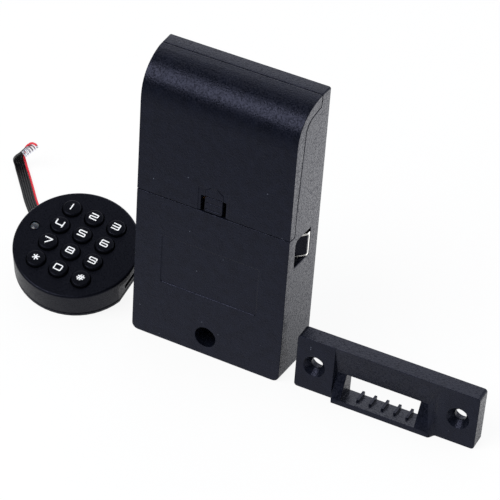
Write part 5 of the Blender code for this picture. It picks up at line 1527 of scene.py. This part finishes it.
# The way the cable's right edge lies at each of those points
CABLE_SIDE = [
    (0.630, 0.754, 0.181), (0.600, 0.790, 0.100), (0.590, 0.805, 0.000),
    (0.595, 0.804, 0.000), (0.650, 0.760, 0.000), (0.722, 0.692, 0.000),
    (0.752, 0.659, 0.000), (0.752, 0.659, 0.000), (0.752, 0.659, 0.000),
    (0.740, 0.670, 0.000), (0.670, 0.740, -0.050), (0.240, 0.940, -0.240),
    (-0.140, 0.970, -0.180), (-0.040, 0.990, 0.100), (0.160, 0.880, 0.450),
    (0.345, 0.683, 0.650),
]


@dataclass
class RibbonCable(SubAssembly):
    """Flat cable of six wires from the keypad's spigot to its curled free end.

    A thin web joins the wires up to the last bend. Past it they part, and all but the red one
    are stripped back to their tinned strands.
    """

    width: float = 5.3 * MM
    wire_radius: float = 0.46 * MM
    wires: int = 6
    front_y: float = -10.5 * MM
    web: float = 0.45 * MM
    web_share: float = 0.84
    spread: float = 0.35
    red_lift: Point = (0.8 * MM, -1.7 * MM, 1.4 * MM)
    lift_share: float = 0.74
    bare: float = 4.3 * MM
    red_bare: float = 0.9 * MM
    overlap: float = 0.5 * MM
    strand_radius: float = 0.40 * MM
    bare_across: float = 1.5
    steps: int = 8
    wire_sides: int = 16
    smooth_deg: float = 60.0

    def route(self) -> tuple[np.ndarray, np.ndarray]:
        """Middle of the cable and the direction of its right edge, as the source has them.

        Returns:
            (n, 3) points and (n, 3) directions.
        """
        points = np.array(CABLE_ROUTE) * MM
        points[:, 1] += self.front_y
        path = smooth_through(points.tolist(), self.steps)
        side = smooth_through(CABLE_SIDE, self.steps)
        return path, square_to(side, unit(np.gradient(path, axis=0)))

    def wire(self, number: int, path: np.ndarray, side: np.ndarray,
             share: np.ndarray) -> np.ndarray:
        """Middle of one wire: the path plus its place across, which grows past the web.

        The growth is a smooth step, 3t^2 - 2t^3, of the way from the web's end to the tips.
        The red wire has come off the web before that and stands in front of the others.

        Args:
            number: Number of the wire from the cable's left edge.
            path: (n, 3) points of the cable's middle.
            side: (n, 3) directions of its right edge.
            share: Share of the cable's length at each point.

        Returns:
            (n, 3) points of the wire's middle.
        """
        pitch = (self.width - 2 * self.wire_radius) / (self.wires - 1)
        grow, lift = (3 * t ** 2 - 2 * t ** 3 for t in (
            np.clip((share - first) / (1 - self.web_share), 0, 1)[:, None]
            for first in (self.web_share, self.lift_share)))
        middle = path + side * (number - (self.wires - 1) / 2) * pitch * (
            1 + self.spread * grow)
        if number == self.wires - 1:
            middle = middle + lift * np.array(self.red_lift)
        return middle

    def build(self) -> None:
        path, side = self.route()
        along = np.concatenate([[0], np.cumsum(np.linalg.norm(np.diff(path, axis=0), axis=1))])
        length, share = along[-1], along / along[-1]
        half = self.width / 2 - self.wire_radius
        corners = np.array([(half, self.web / 2), (-half, self.web / 2),
                            (-half, -self.web / 2), (half, -self.web / 2)])
        held = share <= self.web_share
        parts = [piece_from_grid("web", swept_grid(path[held], side[held], corners),
                                 caps=True)]
        self.colour(parts[0], 0.0)
        for number in range(self.wires):
            middle = self.wire(number, path, side, share)
            bare = self.red_bare if number == self.wires - 1 else self.bare
            covered = along <= length - bare
            stripped = along >= length - bare - self.overlap
            wire = wound("wire", middle[covered], side[covered], self.wire_radius,
                         self.wire_sides)
            self.colour(wire, (number + 0.5) / self.wires)
            strand = wound("strand", middle[stripped], side[stripped], self.strand_radius)
            self.colour(strand, self.bare_across)
            parts += [wire, strand]
        cable = tidied(joined("ribbon_cable_wires", parts), self.smooth_deg)
        self.show(cable, "root", Slot.CABLE, "ribbon_cable")

    def colour(self, piece: Object, across: float) -> None:
        """Set U of a piece to its place across the cable, from 0 to 1, or more where bare.

        Args:
            piece: Web, wire or strand.
            across: Its place across the cable.
        """
        layer = piece.data.uv_layers[UV_NAME]
        uv = np.zeros(len(layer.data) * 2, np.float32)
        layer.data.foreach_get("uv", uv)
        uv[::2] = across
        layer.data.foreach_set("uv", uv)


@dataclass
class StrikePlate(SubAssembly):
    """Moulded strike plate with its scooped ramp, window, ribs and countersunk ears."""

    edge: float = 0.14 * MM

    def build(self) -> None:
        """Round the CAD form's edges and dress it."""
        self.round_off("strike_plate", "strike_moulding", self.edge, "root", Slot.BODY)


@dataclass
class Studio:
    """Plain pale floor, soft lamps, and the camera at the photograph's viewpoint."""

    lens_mm: float = 174.81
    sensor_mm: float = 36.0
    clip_end: float = 50.0
    place: Point = (306.98 * MM, -623.81 * MM, 551.2 * MM)
    azimuth_deg: float = 25.43
    elevation_deg: float = 36.26
    roll_deg: float = 4.18
    world_level: float = 0.60
    mirrored_ahead: float = 0.06
    mirrored_behind: float = 1.0
    floor_glow: float = 0.90
    floor_mirrored: float = 0.75
    floor_levels: tuple[Point, Point] = ((-0.30, 0.0, 1.0), (0.0, 0.09, 1.6))
    floor_half: float = 4.0
    paper: str = "#f4f4f4"
    world_colour: str = "#f2f5fb"
    behind_from: Spot = (0.0, 0.6)
    aim: Point = (-0.01, 0.0, 0.04)
    lamps: tuple[tuple[str, Point, float, float], ...] = (
        ("key_lamp", (-0.55, -0.95, 1.20), 1.1, 18.0),
        ("right_lamp", (1.3, 0.5, 0.9), 0.9, 5.0),
        ("back_lamp", (-0.69, 1.46, 1.18), 1.6, 6.5))

    def camera(self) -> None:
        """Place the camera: its back points from the object along azimuth and elevation."""
        az, el, roll = (math.radians(a) for a in (
            self.azimuth_deg, self.elevation_deg, self.roll_deg))
        back = np.array([math.sin(az) * math.cos(el), -math.cos(az) * math.cos(el),
                         math.sin(el)])
        level = np.array([math.cos(az), math.sin(az), 0.0])
        up = np.array([-math.sin(az) * math.sin(el), math.cos(az) * math.sin(el),
                       math.cos(el)])
        right = level * math.cos(roll) + up * math.sin(roll)
        top = up * math.cos(roll) - level * math.sin(roll)
        data = bpy.data.cameras.new("photo_camera")
        data.lens = self.lens_mm
        data.sensor_width = self.sensor_mm
        data.clip_end = self.clip_end
        camera = bpy.data.objects.new("photo_camera", data)
        bpy.context.scene.collection.objects.link(camera)
        turn = Matrix((right.tolist(), top.tolist(), back.tolist())).transposed().to_4x4()
        camera.matrix_world = Matrix.Translation(self.place) @ turn
        bpy.context.scene.camera = camera

    def floor(self) -> None:
        """Pale matt floor that shows almost white and keeps a soft shadow."""
        half = self.floor_half
        mesh = bpy.data.meshes.new("floor")
        mesh.from_pydata([(-half, -half, 0), (half, -half, 0), (half, half, 0),
                          (-half, half, 0)], [], [(0, 1, 2, 3)])
        floor = placed("floor", mesh)
        material = bpy.data.materials.new("pale_studio_paper")
        material.use_nodes = True
        tree = material.node_tree
        tree.nodes.clear()
        rays = add_node(tree, "ShaderNodeLightPath").outputs
        seen = worked_out(tree, "MAXIMUM", rays["Is Camera Ray"], rays["Is Transmission Ray"])
        share = worked_out(
            tree, "MAXIMUM", worked_out(tree, "MULTIPLY", seen, self.floor_glow),
            worked_out(tree, "MULTIPLY", rays["Is Glossy Ray"], self.floor_mirrored))
        depth = axis_of(tree, coordinate(tree, "Object"), "Y")
        ahead, behind = (ramp(tree, depth, 0.0, level, (first, last))
                         for first, last, level in self.floor_levels)
        strength = add_node(tree, "ShaderNodeMix", {
            "Factor": rays["Is Glossy Ray"], "A": 1.0,
            "B": worked_out(tree, "ADD", ahead, behind)}).outputs["Result"]
        paper = add_node(tree, "ShaderNodeBsdfDiffuse", {"Color": self.paper})
        glow = add_node(tree, "ShaderNodeEmission", {
            "Color": (1, 1, 1, 1), "Strength": strength})
        mix = add_node(tree, "ShaderNodeMixShader", {
            0: share, 1: paper.outputs[0], 2: glow.outputs[0]})
        add_node(tree, "ShaderNodeOutputMaterial", {"Surface": mix.outputs[0]})
        mesh.materials.append(material)

    def sky(self, tree: Tree) -> None:
        """Even light from all round; skins mirror a dark room ahead and a pale wall behind.

        Args:
            tree: Node tree of the world.
        """
        tree.nodes.clear()
        back = axis_of(tree, coordinate(tree, "Generated"), "Y")
        level = ramp(tree, back, self.mirrored_ahead, self.mirrored_behind, self.behind_from,
                     interpolation_type="SMOOTHSTEP")
        even, mirrored = (add_node(tree, "ShaderNodeBackground", {
            "Color": self.world_colour, "Strength": strength}).outputs[0]
            for strength in (self.world_level, level))
        glossy = add_node(tree, "ShaderNodeLightPath").outputs["Is Glossy Ray"]
        mix = add_node(tree, "ShaderNodeMixShader", {0: glossy, 1: even, 2: mirrored})
        add_node(tree, "ShaderNodeOutputWorld", {"Surface": mix.outputs[0]})

    def lamp(self, name: str, place: Point, size: float, watts: float) -> None:
        """One square soft lamp that faces the aim: its back points away from it.

        Args:
            name: Name of the lamp.
            place: Its middle.
            size: Its side in metres.
            watts: Its power.
        """
        data = bpy.data.lights.new(name, "AREA")
        data.size = size
        data.energy = watts
        lamp = bpy.data.objects.new(name, data)
        bpy.context.scene.collection.objects.link(lamp)
        back = unit(np.array([place]) - self.aim)
        right = unit(np.cross([0, 0, 1], back))
        turn = Matrix(np.concatenate([right, np.cross(back, right), back]).tolist())
        lamp.matrix_world = Matrix.Translation(place) @ turn.transposed().to_4x4()

    def build(self) -> None:
        """Set the world, the view transform, the floor and the lamps."""
        scene = bpy.context.scene
        scene.view_settings.view_transform = "Standard"
        world = bpy.data.worlds.new("studio")
        scene.world = world
        world.use_nodes = True
        self.sky(world.node_tree)
        self.floor()
        for name, place, size, watts in self.lamps:
            self.lamp(name, place, size, watts)


def main() -> None:
    """Build every sub-assembly in order."""
    logging.basicConfig(level=logging.INFO, format="%(message)s")
    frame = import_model()
    studio = Studio()
    studio.camera()
    palette = Palette()
    for kind in (RibbonCable, LockBody, BoltGear, BatteryBay, Electronics, Keypad, StrikePlate):
        kind(frame["nodes"], palette).build()
        LOG.info("%s is ready", kind.__name__)
    studio.build()


if __name__ == "__main__":
    main()
